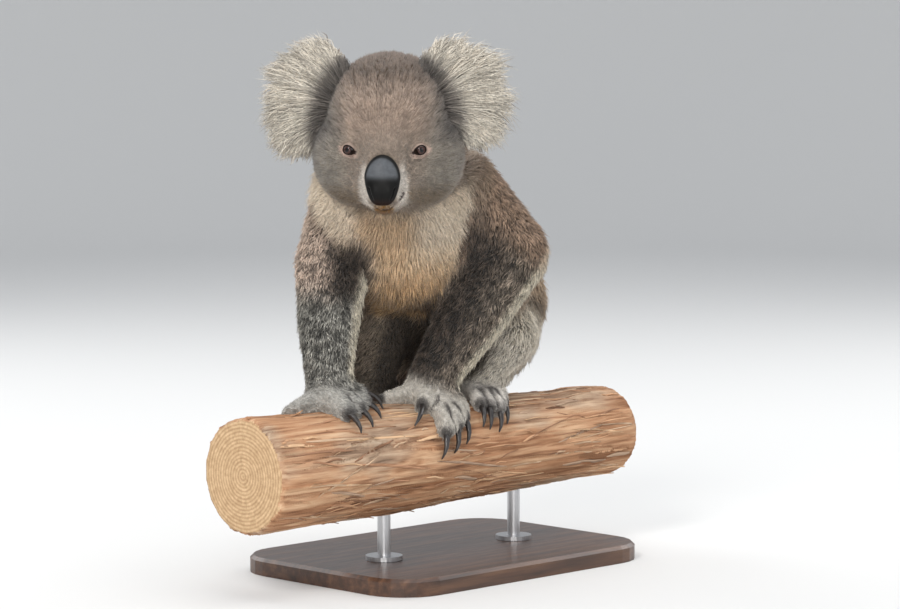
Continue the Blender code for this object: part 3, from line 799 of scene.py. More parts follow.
def bare_layers(points, local, part, head):
    """The dark or pink skin at the claws' roots, in the mouth and round the eyes, and painted shade in the
    creases between the digits.
    """
    paws = np.clip(sum(part[paw] for paw in PAWS) * 1.5, 0, 1)
    to_claw = np.min(size(points[:, None] - CLAW_ROOTS), axis=1) / MM
    layers = [(CLAW_SKIN_AND_CREASE_SHADE, paws * step(9, 3, to_claw) * 0.9)]
    for paw in PAWS:
        mine = np.flatnonzero(part[paw] > 0.3)
        share, _, gap = near_digits(points[mine], paw)
        between = np.zeros(len(points))
        # Painted shade in the creases between the digits.
        between[mine] = bell(gap, 0, 1.6) * step(0.2, 0.6, share) * 0.8
        layers.append((CLAW_SKIN_AND_CREASE_SHADE, between))
    above, along = mouth_distance(local)
    in_mouth = step(1.9, 0.6, np.abs(above)) * step(1.15, 1.0, along) * step(34, 44, local[:, 1])
    in_mouth *= 1 - 0.7 * step(0.45, 0.6, along)
    layers.append((MOUTH, head * np.maximum(in_mouth, step(3.2, 2.2, from_corner(local)))))
    for side in SIDES:
        eye = eye_local(points, side)
        measure = lid_measure(eye)
        close = (eye[:, 2] > -8) * (eye[:, 2] < 18)
        corner = step(4.6, 5.6, -eye[:, 0]) * step(1.5, 1.2, measure) * step(2.0, 1.0, np.abs(eye[:, 1]))
        below = step(1.5, -1.5, eye[:, 1])
        lid = step(1.7 + 0.4 * below, 1.35 + 0.25 * below, measure)
        layers.append((LID, close * lid * (0.6 + 0.35 * below)))
        layers.append((LID_EDGE, close * np.maximum(step(1.14, 1.02, measure), corner)))
    return layers


def markings_and_shade(points, normals, weights):
    """Display colours of skin and coat alike: the coat's patterns, with painted shade where shade falls."""
    place, local = body_coords(points), head_coords(points)
    x, y, z = place.T
    part = by_label(weights)
    head = np.clip(part["head"] + 0.4 * part["neck"] * step(40, -10, y), 0, 1)
    right_arm = np.clip(part["upper_arm_right"] + part["forearm_right"], 0, 1)
    bib = bib_share(points, normals) * (1 - part["head"]) * (1 - 0.85 * right_arm)
    layers = body_layers(place, normals, part, right_arm, bib) + head_layers(local, head)
    layers.append((BIB, bib * step(150, 185, z) * step(18, 42, np.abs(x + 57))))
    return layered(weights @ LABEL_COLOURS, *layers, *bare_layers(points, local, part, head))


# ---- Lie of the coat

FLOW_PASSES = 8
NEXT_PART = {"upper_arm": "forearm", "forearm": "hand", "thigh": "shank", "shank": "foot"}


def flattened(flows, normals):
    return unit(flows - normals * (flows * normals).sum(axis=1, keepdims=True))


def flow_on(surface):
    """Unit directions along the skin in which the coat lies."""
    normals = surface.normal
    forward = normals[:, 1]
    flows = np.zeros_like(normals)
    for label, weight in by_label(surface.weights).items():
        part = part_of(label)
        if part == "head":
            towards = unit(surface.points - NOSE_CENTRE)
        elif part == "neck":
            towards = mixed((0.1, 0.7, -0.7), (0, -0.1, -1), step(0.2, -0.2, forward))
        elif part == "trunk":
            towards = mixed((0.22, 0.62, -0.72), (0, 0, -1), step(0.3, -0.3, forward))
        elif part in NEXT_PART:
            towards = unit(centre_of(label.replace(part, NEXT_PART[part])) - centre_of(label))
        else:
            towards = unit(np.mean([centre_of(claw) for claw in claws_of(label)], axis=0) - centre_of(label))
        flows += weight[:, None] * towards
    flows = unit(flows)
    middle = body_coords(surface.points)[:, 0] + 46
    flows[:, 0] += bib_share(surface.points, normals) * np.clip(middle / 70, -0.5, 0.5)
    flows = surface.diffuse(flattened(flows, normals), FLOW_PASSES)
    return flattened(flows, normals)


# ---- Tufts

# The baking map: a tuft's patch across, and the faces of the simplified copies that are unwrapped.
PATCH = 0.003
COAT_MAP_FACES = 6000
EAR_MAP_FACES = 1500


def strands(name, lines, widths, ridge, ridge_share, colours, patches):
    """One closed three-sided spike round each centre line.

    lines is (strands, stations, 3), widths (strands, stations - 1), ridge the strands' outer direction,
    colours (strands, stations, 3) and patches each strand's place on the baking map.
    """
    count, stations, _ = lines.shape
    ahead = lines[:, 1:] - lines[:, :-1]
    across = unit(np.cross(ahead, ridge[:, None, :]))
    outer = unit(np.cross(across, ahead))
    half = widths[..., None] / 2
    offsets = (-across * half, across * half, outer * half * ridge_share)
    rings = np.stack([lines[:, :-1] + offset for offset in offsets], axis=2)
    per = 3 * (stations - 1) + 1
    points = np.concatenate([rings.reshape(count, per - 1, 3), lines[:, -1:]], axis=1)
    faces = []
    for ring in range(stations - 2):
        low, high = 3 * ring, 3 * ring + 3
        for corner in range(3):
            after = (corner + 1) % 3
            faces.append((low + corner, low + after, high + after))
            faces.append((low + corner, high + after, high + corner))
    last = 3 * (stations - 2)
    faces += [(last + corner, last + (corner + 1) % 3, per - 1) for corner in range(3)]
    faces.append((2, 1, 0))
    starts = np.arange(count, dtype=np.int32)[:, None, None] * per
    corners = (starts + np.array(faces, np.int32)).reshape(-1)

    mesh = bpy.data.meshes.new(name)
    mesh.vertices.add(count * per)
    mesh.vertices.foreach_set("co", points.astype(np.float32).ravel())
    mesh.loops.add(len(corners))
    mesh.loops.foreach_set("vertex_index", corners)
    mesh.polygons.add(len(corners) // 3)
    mesh.polygons.foreach_set("loop_start", np.arange(0, len(corners), 3, dtype=np.int32))
    mesh.update(calc_edges=True)

    spread = np.concatenate([np.repeat(colours[:, :-1], 3, axis=1), colours[:, -1:]], axis=1)
    paint(mesh, spread.reshape(-1, 3))
    index = np.arange(per)
    within = np.stack([index % 3 - 1, 2 * (index // 3) / (stations - 1) - 1], axis=1)
    within[-1] = (0, 1)
    uv = patches[:, None, :] + within * PATCH / 2
    layer = mesh.uv_layers.new(name="OFBake")
    layer.data.foreach_set("uv", uv.reshape(-1, 2)[corners].astype(np.float32).ravel())
    return mesh


def barycentric(point, a, b, c):
    """Each corner's share of a point on a triangle."""
    v0, v1, v2 = b - a, c - a, point - a
    pairs = ((v0, v0), (v0, v1), (v1, v1), (v2, v0), (v2, v1))
    d00, d01, d11, d20, d21 = ((p * q).sum(1) for p, q in pairs)
    area = np.maximum(d00 * d11 - d01 * d01, 1e-30)
    v = np.clip((d11 * d20 - d01 * d21) / area, 0, 1)
    w = np.clip((d00 * d21 - d01 * d20) / area, 0, 1)
    return np.stack([1 - v - w, v, w], axis=1)


class Unwrap:
    """A flat map of a simplified copy of a surface, which gives each root its place."""

    def __init__(self, mesh, faces_wanted):
        ratio = faces_wanted / len(mesh.polygons)
        coarse = reshaped(mesh, DECIMATE={"ratio": ratio, "use_collapse_triangulate": True})
        thing = linked(bpy.data.objects.new("unwrap", coarse))
        bpy.context.view_layer.objects.active = thing
        thing.select_set(True)
        coarse.uv_layers.new(name="flat")
        bpy.ops.object.mode_set(mode="EDIT")
        bpy.ops.mesh.select_all(action="SELECT")
        bpy.ops.uv.smart_project(angle_limit=math.radians(66), island_margin=0.006)
        bpy.ops.object.mode_set(mode="OBJECT")
        self.flat = read(coarse.uv_layers["flat"].data, "uv", 2).reshape(-1, 3, 2)
        self.surface = Surface(coarse)
        self.tree = BVHTree.FromPolygons(self.surface.points.tolist(), self.surface.triangles.tolist())
        bpy.data.objects.remove(thing)

    def places(self, roots):
        found = [self.tree.find_nearest(Vector(root)) for root in roots]
        face = np.array([hit[2] for hit in found])
        spot = np.array([tuple(hit[0]) for hit in found])
        shares = barycentric(spot, *(corner[face] for corner in self.surface.corners()))
        flat = (self.flat[face] * shares[..., None]).sum(axis=1)
        low, high = flat.min(axis=0), flat.max(axis=0)
        return PATCH + (flat - low) / np.maximum(high - low, 1e-6) * (1 - 2 * PATCH)


def scatter(surface, density):
    """Roots spread evenly by density, as (triangle, corner shares)."""
    a, b, c = surface.corners()
    areas = size(np.cross(b - a, c - a)) / 2 / MM**2
    total = np.cumsum(areas * density[surface.triangles].mean(axis=1))
    count = int(total[-1])
    marks = (np.arange(count) + RNG.random(count)) * total[-1] / count
    chosen = np.minimum(np.searchsorted(total, marks), len(total) - 1)
    pair = RNG.random((2, count))
    first, second = np.where(pair.sum(axis=0) > 1, 1 - pair, pair)
    return chosen, np.stack([1 - first - second, first, second], axis=1)


def bare_share(points):
    """Where no tuft grows: the lids, the mouth's line and corner, and under the nose pad."""
    bare = np.zeros(len(points))
    for side in SIDES:
        eye = eye_local(points, side)
        bare = np.maximum(bare, (lid_measure(eye) < 1.45) * (eye[:, 2] > -8) * (eye[:, 2] < 18))
    local = head_coords(points)
    side, forward, up = local.T
    above, along = mouth_distance(local)
    pad = head_coords(NOSE_CENTRE[None])[0]
    over = np.hypot((side - pad[0]) / 15.5, (up - pad[2]) / 22.5)
    for there in (
        (np.abs(above) < 1.1) * (along < 1.05) * (forward > 40),
        (from_corner(local) < 3.0) * (forward > 40),
        (over < 0.98) * (forward > 30),
    ):
        bare = np.maximum(bare, there)
    return bare


TUFTS_IN_CLUMP = 26
CLUMP_REACH = 8.0 * MM
CLUMP_PULL = 0.42


def clumped(roots, tips):
    """Draws the tips of neighbouring tufts together, so that they form soft locks."""
    picks = RNG.choice(len(roots), len(roots) // TUFTS_IN_CLUMP, replace=False)
    tree = tree_of(roots[picks])
    owner = picks[[tree.find(Vector(root))[1] for root in roots]]
    offset = roots[owner] - roots
    pull = CLUMP_PULL * np.minimum(1, CLUMP_REACH / np.maximum(size(offset), 1e-9) * 0.6)
    return tips + offset * pull[:, None]


COAT_PIECES = ("face", "crown", "neck", "chest", "back", "arm_right", "arm_left", "legs", "paws")
STRAIGHT = ("face", "crown", "paws")


def piece_of(label, forward, facing):
    """The coat piece of a tuft, by its label, how far forward on the head it is, and its normal's Y."""
    part = part_of(label)
    if part in ("upper_arm", "forearm"):
        return label.replace(part, "arm")
    pieces = {
        "head": "face" if forward > 12 else "crown",
        "neck": "neck",
        "trunk": "chest" if facing < 0 else "back",
        "thigh": "legs",
        "shank": "legs",
    }
    return pieces.get(part, "paws")


def noise_at(points, scale, start=(0, 0, 0)):
    return np.array([noise.noise(Vector(point) * scale + Vector(start)) for point in points])


def leaned(lie, normals, angle):
    """Directions lifted from the lie by an angle."""
    return np.cos(angle)[:, None] * lie + np.sin(angle)[:, None] * normals


def grow_coat(surface, flows, material):
    """Every tuft on the skin, in COAT_PIECES."""
    chosen, shares = scatter(surface, surface.fields[:, 4])
    fields = (surface.points, surface.normal, flows, surface.weights, surface.fields)
    at_roots = [(values[surface.triangles[chosen]] * shares[..., None]).sum(axis=1) for values in fields]
    keep = bare_share(at_roots[0]) < 0.5
    roots, normals, lie, weights, fields = (values[keep] for values in at_roots)
    normals, lie = unit(normals), unit(lie)
    _, length, width, lift, _ = fields.T
    count = len(roots)

    mottle = noise_at(roots, 150)
    tone = 1 + weights @ SPECKLES * (0.5 * RNG.normal(0, 1, count) + 1.1 * mottle)
    tone = np.clip(tone, 0.35, 1.9)
    length = length * np.clip(1 + 0.16 * RNG.normal(size=count) + 0.25 * mottle, 0.5, 1.6)
    twist = np.radians(9) * RNG.normal(size=count) + 0.35 * noise_at(roots, 60, (7, 3, 1))
    lie = leaned(lie, np.cross(normals, lie), twist)
    low = np.radians(lift * np.clip(1 + 0.18 * RNG.normal(size=count), 0.3, 1.8))
    reach = length[:, None] * MM
    middle = roots + 0.5 * reach * leaned(lie, normals, low + math.radians(14))
    tips = clumped(roots, roots + reach * leaned(lie, normals, low))
    lines = np.stack([roots - normals * 0.4 * MM, middle, tips], axis=1)
    widths = width[:, None] * MM * (1.0, 0.8)
    ridge = unit(normals + 0.25 * RNG.normal(size=(count, 3)))

    # Painted shade: each tuft darker at its root, among the other tufts, and lighter at its tip; softer on
    # the bib.
    shade = mixed((0.72, 1.0, 1.16), (0.90, 1.0, 1.05), bib_share(roots, normals))
    colours = linear(markings_and_shade(roots, normals, weights)) * (COAT_GAIN * tone**2)[:, None]
    colours = capped(colours[:, None, :] * shade[:, :, None])
    tops, forward, facing = weights.argmax(axis=1), head_coords(roots)[:, 1], normals[:, 1]
    owner = np.array([piece_of(LABELS[top], *where) for top, *where in zip(tops, forward, facing)])
    unwrap = Unwrap(surface.mesh, COAT_MAP_FACES)
    for piece in COAT_PIECES:
        mine = np.flatnonzero(owner == piece)
        stations = [0, 2] if piece in STRAIGHT else [0, 1, 2]
        line, colour = lines[mine][:, stations], colours[mine][:, stations]
        broad = widths[mine][:, : len(stations) - 1]
        patches = unwrap.places(roots[mine])
        mesh = strands("coat_" + piece, line, broad, ridge[mine], 0.8, colour, patches)
        dress(mesh.name, mesh, "fur", material)


# ---- Ears

EAR_WHITE = (234, 226, 211)
EAR_GREY = (178, 168, 154)
EAR_DARK = (82, 76, 71)
EAR_BACK = (140, 128, 116)
EAR_LOCKS = 6200
EAR_BACK_LOCKS = 1900
EAR_CLUMPS = 54
EAR_STATIONS = 4
EAR_THICK = 10.5 * MM
EAR_FAN = (92, 156)
GOLDEN = 0.6180339887
SMOOTHING = 121
# The line on the head that each ear's hair springs from: top and bottom as (side, up).
EAR_ROOTS = {"ear_right": ((-37, 49), (-57, 0)), "ear_left": ((28, 49), (52, 2))}


def make_ear(name, coat, skin):
    """A leathery shell with long locks that fan out from a dark furrow to the CAD fan's edge."""
    out = -1 if name == "ear_right" else 1
    points = coordinates(NODES[name].data)
    flat = points[:, [0, 2]]
    slope = np.linalg.lstsq(np.c_[flat, np.ones(len(flat))], points[:, 1], rcond=None)[0]
    top, low = (in_head(side, 0, up)[[0, 2]] for side, up in EAR_ROOTS[name])

    def plane(x, z):
        return slope[0] * x + slope[1] * z + slope[2]

    shell = reshaped(NODES[name].data, SUBSURF={"levels": 2, "render_levels": 2})
    inner = coordinates(shell)
    centre = (top + low) / 2
    middle = np.array([centre[0], plane(*centre), centre[1]])
    away = inner - middle
    away[:, 1] -= 0.45 * (inner[:, 1] - plane(inner[:, 0], inner[:, 2]))
    inner = middle + away * (0.62, 0.8, 0.66)
    move_to(shell, inner)
    paint(shell, linear(mixed(EAR_DARK, EAR_GREY, step(0.012, 0.034, size(inner - middle)))))
    dress(name + "_shell", shell, "ear_fur", skin, name)

    count = EAR_LOCKS + EAR_BACK_LOCKS
    front = np.arange(count) < EAR_LOCKS
    spot = np.clip((np.arange(count) * GOLDEN) % 1 + RNG.normal(0, 0.01, count), 0, 1)
    angle = np.radians(EAR_FAN[0] - EAR_FAN[1] * spot) + RNG.normal(0, 0.06, count)
    spring = top + (low - top) * spot[:, None]
    heading = np.stack([out * np.cos(angle), np.sin(angle)], axis=1)
    reach = np.empty(count)
    for index in range(count):
        away = flat - spring[index]
        distance = size(away)
        reach[index] = distance[away @ heading[index] > distance * 0.985].max(initial=0.02)
    order = spot.argsort()
    padded = np.pad(reach[order], SMOOTHING // 2, mode="edge")
    reach = np.convolve(padded, np.ones(SMOOTHING) / SMOOTHING, "valid")[order.argsort()]
    start = np.where(front, RNG.beta(1.15, 1.25, count) * 0.72, RNG.uniform(0.0, 0.72, count))
    span = np.where(front, RNG.uniform(0.30, 0.50, count), RNG.uniform(0.22, 0.34, count))
    end = np.minimum(start + span, RNG.uniform(0.88, 1.07, count))
    clumps = np.sort(RNG.random(EAR_CLUMPS))
    held = np.abs(spot[:, None] - clumps[None] + RNG.normal(0, 0.006, (count, 1))).argmin(axis=1)
    end = end * (1 + RNG.normal(0, 0.06, EAR_CLUMPS))[held]
    wave = RNG.normal(0, 0.07, (2, count))
    tone = np.clip(1 + 0.10 * RNG.normal(size=count) + RNG.normal(0, 0.07, EAR_CLUMPS)[held], 0.6, 1.3)
    whiteness = np.clip(0.8 + 0.35 * RNG.normal(size=count), 0, 1)
    lift = RNG.uniform(0.2, 1.15, count) ** 0.8 * (1 + RNG.normal(0, 0.12, EAR_CLUMPS))[held]
    lines, colours = np.empty((2, count, EAR_STATIONS, 3))
    for station, t in enumerate(np.arange(EAR_STATIONS) / (EAR_STATIONS - 1)):
        along = start + (end - start) * t
        drawn = spot + (clumps[held] - spot) * 0.8 * along**1.3
        turned = np.radians(EAR_FAN[0] - EAR_FAN[1] * drawn)
        turned = turned + wave[0] * t + wave[1] * math.sin(3.1 * t) - 0.10 * t * t
        base = top + (low - top) * drawn[:, None]
        x = base[:, 0] + out * along * reach * np.cos(turned)
        z = base[:, 1] + along * reach * np.sin(turned)
        bulge = EAR_THICK * np.sqrt(np.clip(1.03 - along**2, 0, 1)) * (0.7 + 0.3 * t) * lift
        lines[:, station] = np.stack([x, plane(x, z) + np.where(front, -bulge, bulge * 0.8), z], axis=1)
        shade = mixed(EAR_GREY, EAR_WHITE, whiteness)
        shade = mixed(shade, EAR_DARK, step(31, 19, along * reach / MM) * 0.92)
        corner = step(0.78, 1.0, along) * step(0.80, 0.92, spot) * (out < 0)
        shade = mixed(shade, EAR_DARK, corner * 0.6)
        shade = np.where(front[:, None], shade, np.array(EAR_BACK, float) * (1 + 0.3 * t))
        colours[:, station] = capped(linear(shade) * (COAT_GAIN * tone**2)[:, None])
    widths = np.where(front, 0.85, 1.2)[:, None] * MM * (0.9, 1.0, 0.7)
    ridge = np.where(front[:, None], (0, -1.0, 0.15), (0, 1.0, 0.15))
    ridge = unit(ridge + 0.3 * RNG.normal(size=(count, 3)))
    patches = Unwrap(shell, EAR_MAP_FACES).places(lines[:, 0])
    locks = strands(name + "_locks", lines, widths, ridge, 0.7, colours, patches)
    dress(locks.name, locks, "ear_fur", coat)


# ---- Eyes

EYE_SLICES = 72
EYE_RIM = (34, 25, 22)


def make_eye(side):
    """A wet ball with a red-brown iris, an upright pupil and a low cornea."""
    mesh = ball("eye", EYE_SLICES, 44)
    points = coordinates(mesh)
    out = points[:, 2]
    points = points * (1 + 0.07 * step(0.72, 0.95, out))[:, None] * (EYE_RADIUS - 0.1)
    move_to(mesh, EYES[side] + points @ np.array(eye_axes(side)) * MM)
    across, rise, _ = points.T
    reach = np.hypot(across, rise)
    spokes = 0.5 + 0.5 * np.sin(np.arctan2(rise, across) * 34 + 2 * np.sin(reach * 3))
    colours = layered(
        (66, 34, 25),
        ((38, 20, 15), spokes * 0.7),
        ((20, 12, 10), step(2.9, 4.0, reach)),
        ((6, 4, 4), step(1.1, 0.9, np.hypot(across / 1.7, rise / 2.2))),
        (EYE_RIM, step(4.3, 4.9, reach)),
    )
    colours[out < 0] = EYE_RIM
    paint(mesh, linear(colours))
    wet = {"Coat_Weight": 1.0, "Coat_Roughness": 0.02, "Coat_IOR": 1.45}
    shader = Shader("eye_" + side, 0.5, Specular_IOR_Level=0.0, **wet)
    shader.colour(shader.painted())
    dress(f"eye_{side}_ball", mesh, "eye", shader.material, "eye_" + side)


# ---- Nose

NOSE_SLICES = 108


def nose_material():
    shader = Shader("nose_skin_detail", 0.42, Specular_IOR_Level=0.16, Coat_Weight=0.02, Coat_Roughness=0.3)
    painted = shader.painted()
    grain = shader.add("TexVoronoi", {"feature": "DISTANCE_TO_EDGE"}, Vector=shader.places(), Scale=1400.0)
    soft = shader.noise(shader.places(), 260, 3)
    shader.tinted(painted, soft, (0.3, (222, 222, 222)), (0.7, WHITE))
    shader.rough(soft, 0.34, 0.50)
    shader.bump(grain.outputs["Distance"], 0.25, 0.0003)
    return shader.material


def make_nose():
    """The leathery pad: smooth and dark, the upper half painted grey as the sky's reflection, with a
    comma-shaped nostril low at each side.
    """
    cad = head_coords(coordinates(NODES["nose"].data))
    pad = (cad.max(axis=0) + cad.min(axis=0)) / 2
    half = (cad.max(axis=0) - cad.min(axis=0)) / 2
    lean = np.polyfit(cad[:, 2] - pad[2], cad[:, 1] - pad[1], 1)[0]
    mesh = ball("nose_pad", NOSE_SLICES, NOSE_SLICES // 2)
    side, up, forward = coordinates(mesh).T
    reach = np.maximum(np.hypot(side, up), 1e-9)
    power = 2.0 + 0.9 * (up < 0)
    powers = np.abs(side / reach) ** power + np.abs(up / reach) ** power
    squarer = (powers + (reach < 1e-6)) ** (-1 / power)
    side, up = side * squarer, up * squarer
    taper = 1 - 0.19 * step(0.30, -0.90, up)
    nose = np.stack([side * half[0] * taper, forward * (half[1] - 1.0) - 2.0, up * half[2] * 0.97], axis=1)
    nose[:, 1] += 0.5 * lean * nose[:, 2]
    nose += pad
    points = HEAD_CENTRE + (nose * (1, -1, 1) * MM) @ HEAD_TURN.T
    move_to(mesh, points)
    if ((points - points.mean(axis=0)) * Surface(mesh).normals()).sum() < 0:
        mesh.flip_normals()
    surface = Surface(mesh)
    ahead = forward > 0
    reach = np.hypot(side, up)
    grow = 0.4 * bell(reach, 0.93, 0.06) * ahead * step(-0.1, 0.4, up)
    hollow = np.zeros(len(side))
    for sign in (-1, 1):
        bend = np.abs(side) - (0.80 - 0.75 * (up + 0.30) ** 2)
        slit = bell(bend, 0, 0.075) * step(-0.84, -0.70, up) * step(-0.22, -0.36, up)
        hollow += slit * (side * sign > 0) * step(-0.2, 0.1, forward)
        grow += 0.9 * np.exp(-(((side - sign * 0.52) / 0.22) ** 2) - ((up + 0.42) / 0.24) ** 2) * ahead
    cleft = bell(side, 0, 0.045) * step(-0.45, -0.7, up) * ahead
    grow -= 3.0 * hollow + 0.6 * cleft
    surface.points = raised(surface.points, surface.normals(), grow)
    surface.keep()
    colours = layered(
        (9, 8, 7),
        # Painted reflection of the sky: the upper half grey, fading out towards the rim.
        ((88, 91, 95), step(-0.12, 0.24, up) * step(1.02, 0.80, reach)),
        ((42, 20, 14), step(-0.62, -0.92, up) * 0.7),
        ((4, 4, 4), step(0.86, 0.94, reach) * step(0.0, 0.45, up)),
        ((8, 6, 6), np.clip(hollow * 1.4, 0, 1)),
    )
    paint(mesh, linear(colours))
    dress("nose_pad", mesh, "nose_skin", nose_material(), "nose")


# ---- Claws

CLAW_VOXEL = 0.6 * MM
CLAW_SWELL = 0.35 * MM


def make_claws():
    shader = Shader("claw_horn_detail", 0.3, Specular_IOR_Level=0.5, Coat_Weight=0.3, Coat_Roughness=0.2)
    streaks = shader.noise(shader.places((1, 1, 0.25)), 520, 4)
    shader.colour(shader.ramp(streaks, (0.3, (22, 20, 20)), (0.62, (48, 43, 41)), (0.8, (84, 76, 70))))
    shader.rough(streaks, 0.22, 0.45)
    shader.bump(streaks, 0.2, 0.0003)
    for name in claws_of():
        surface = Surface(remeshed(name, CLAW_VOXEL))
        surface.points += surface.normals() * CLAW_SWELL
        surface.keep()
        dress(name + "_horn", surface.mesh, "claw_horn", shader.material, name)


# ---- Branch

BARK_VOXEL = 2.1 * MM
# The knot's place: metres along the branch from under its top, and radians round it.
KNOT = (-0.122, 1.10)


def bark_material():
    shader = Shader("bark_detail", 0.85, Specular_IOR_Level=0.25)
    fibres = shader.fibres((9, 170, 170), 7, 0.65)
    strips = shader.fibres((5, 42, 42), 5, 0.6)
    patches = shader.fibres((6, 15, 15), 3)
    fresh = shader.ramp(fibres, (0.30, (108, 74, 54)), (0.47, (186, 142, 108)), (0.66, (218, 184, 150)))
    grey = shader.ramp(fibres, (0.30, (92, 80, 68)), (0.48, (160, 144, 126)), (0.68, (204, 188, 168)))
    share = shader.ramp(patches, (0.48, (0, 0, 0)), (0.60, (220, 220, 220)))
    both = shader.mix(fresh, grey, share)
    shader.tinted(both, strips, (0.32, (168, 144, 126)), (0.45, (240, 232, 226)), (0.62, WHITE))
    shader.bump(fibres, 0.9, 0.0014)
    return shader.material


def end_material():
    """Sawn wood: pale, with rings round the branch's axis."""
    shader = Shader("sawn_wood", 0.75, Specular_IOR_Level=0.25)
    turned = shader.places((0.02, 1, 1), -BRANCH_YAW, BRANCH_AXIS)
    settings = {"wave_type": "RINGS", "rings_direction": "X"}
    rings = shader.add("TexWave", settings, Vector=turned, Scale=96.0, Distortion=1.2, Detail=3.0)
    grain = shader.noise(turned, 300, 4)
    tone = shader.ramp(rings.outputs["Fac"], (0.05, (196, 162, 124)), (0.8, (218, 188, 150)))
    shader.tinted(tone, grain, (0.3, (216, 208, 200)), (0.7, WHITE))
    shader.bump(grain, 0.3, 0.0005)
    return shader.material


def bark_rise(s, angle):
    """The bark's height in millimetres: long fibres that part round a knot, and cracks."""
    from_knot = math.hypot((s - KNOT[0]) / 0.020, (angle - KNOT[1]) * BRANCH_RADIUS * MM / 0.012)
    angle += 0.30 * math.exp(-from_knot / 1.6) * (1 if angle > KNOT[1] else -1)
    round_x, round_z = math.cos(angle), math.sin(angle)
    fine = noise.noise(Vector((s * 26, round_x * 34, round_z * 34)))
    strips = noise.noise(Vector((s * 7 + 5, round_x * 9, round_z * 9)))
    broad = noise.noise(Vector((s * 5 + 9, round_x * 2.2, round_z * 2.2)))
    crack = math.exp(-((strips / 0.07) ** 2))
    ring = math.sin(from_knot * 7) * math.exp(-((from_knot / 1.1) ** 2))
    hollow = math.exp(-((from_knot / 0.45) ** 2))
    return 1.3 * fine + 1.4 * broad - 2.2 * crack + 0.9 * ring - 2.2 * hollow


def make_branch():
    """Fibrous bark over the CAD branch, low under the paws, and its two sawn ends."""
    surface = Surface(remeshed("perch_branch", BARK_VOXEL))
    normals = surface.normals()
    local = surface.points - BRANCH_AXIS
    along = local @ ALONG
    angle = np.arctan2(local @ ACROSS, local[:, 2])
    rise = np.array([bark_rise(s, a) for s, a in zip(along, angle)])
    paws_down = step(0.5, 0.8, np.cos(angle)) * step(0.19, 0.15, np.abs(along + 0.05))
    rise = rise * (1 - 0.55 * paws_down) - 0.5
    surface.points = raised(surface.points, normals, rise * step(0.9, 0.5, np.abs(normals @ ALONG)))
    surface.keep()
    mesh = surface.mesh
    dress("perch_bark", mesh, "bark", bark_material(), "perch_branch")
    mesh.materials.append(end_material())
    sides = surface.normals()
    cut_faces = [int(abs(np.mean([sides[v] @ ALONG for v in face.vertices])) > 0.8) for face in mesh.polygons]
    mesh.polygons.foreach_set("material_index", cut_faces)
    return mesh


RIBBONS = 420
RIBBON_STATIONS = 12
RIBBON_ENDS = (-0.25, 0.21)
RIBBON_COLOURS = (
    (226, 188, 150),
    (206, 162, 126),
    (188, 144, 112),
    (156, 118, 92),
    (210, 180, 150),
    (186, 158, 134),
)
# A ribbon's section: corners as (half widths aside, height).
RIBBON_SECTION = ((-1, 0.4 * MM), (1, 0.4 * MM), (1, -0.3 * MM), (-1, -0.3 * MM))


def ribbon_material():
    shader = Shader("bark_strip", 0.85, Specular_IOR_Level=0.25)
    painted = shader.painted()
    fibres = shader.fibres((12, 240, 240), 6, 0.65)
    shader.tinted(painted, fibres, (0.3, (150, 138, 128)), (0.55, WHITE))
    shader.bump(fibres, 0.7, 0.0008)
    return shader.material


def make_ribbons(bark):
    """Strips of peeling bark: thin closed ribbons that lie along the branch and curl free at one end."""
    polygons = [list(face.vertices) for face in bark.polygons]
    tree = BVHTree.FromPolygons([vert.co.copy() for vert in bark.vertices], polygons)
    points, faces, shades = [], [], []
    for _ in range(RIBBONS):
        s = RNG.uniform(-0.245, 0.205)
        angle = RNG.uniform(-math.pi, math.pi)
        length = RNG.uniform(16, 100) * MM * RNG.uniform(0.5, 1)
        width = RNG.uniform(0.6, 4.0) * MM * RNG.uniform(0.4, 1)
        skew = RNG.normal(0, 0.07)
        curl = RNG.uniform(0.5, 6.0) * MM * (RNG.random() ** 4)
        shade = RIBBON_COLOURS[RNG.integers(len(RIBBON_COLOURS))]
        if math.cos(angle) > 0.35 and abs(s) < 0.16:
            curl = 0.3 * MM
        ribbon = []
        for t in np.arange(RIBBON_STATIONS) / (RIBBON_STATIONS - 1):
            here = s + (t - 0.5) * length
            if not RIBBON_ENDS[0] < here < RIBBON_ENDS[1]:
                break
            turned = angle + skew * (t - 0.5) * length / (BRANCH_RADIUS * MM) * 2
            turned += 0.012 * math.sin(7 * t + angle)
            out = math.sin(turned) * ACROSS + math.cos(turned) * UP
            hit = tree.ray_cast(Vector(BRANCH_AXIS + here * ALONG + out * 0.09), Vector(-out))[0]
            if hit is None:
                break
            middle = np.array(hit) + out * (0.15 * MM + curl * max(0.0, (t - 0.55) / 0.45) ** 2)
            half = np.cross(out, ALONG) * width / 2 * (1 - 0.75 * abs(2 * t - 1) ** 3)
            ribbon += [middle + half * aside + out * height for aside, height in RIBBON_SECTION]
        if len(ribbon) < 4 * 4:
            continue
        start, end = len(points), len(points) + len(ribbon)
        points += ribbon
        shades += [shade] * len(ribbon)
        for low in range(start, end - 4, 4):
            faces += loft(low, 4)
        faces += [range(start, start + 4), range(end - 1, end - 5, -1)]
    mesh = mesh_from("bark_ribbons", points, faces)
    paint(mesh, linear(np.array(shades)))
    dress("bark_ribbons", mesh, "bark", ribbon_material())


# ---- Stand


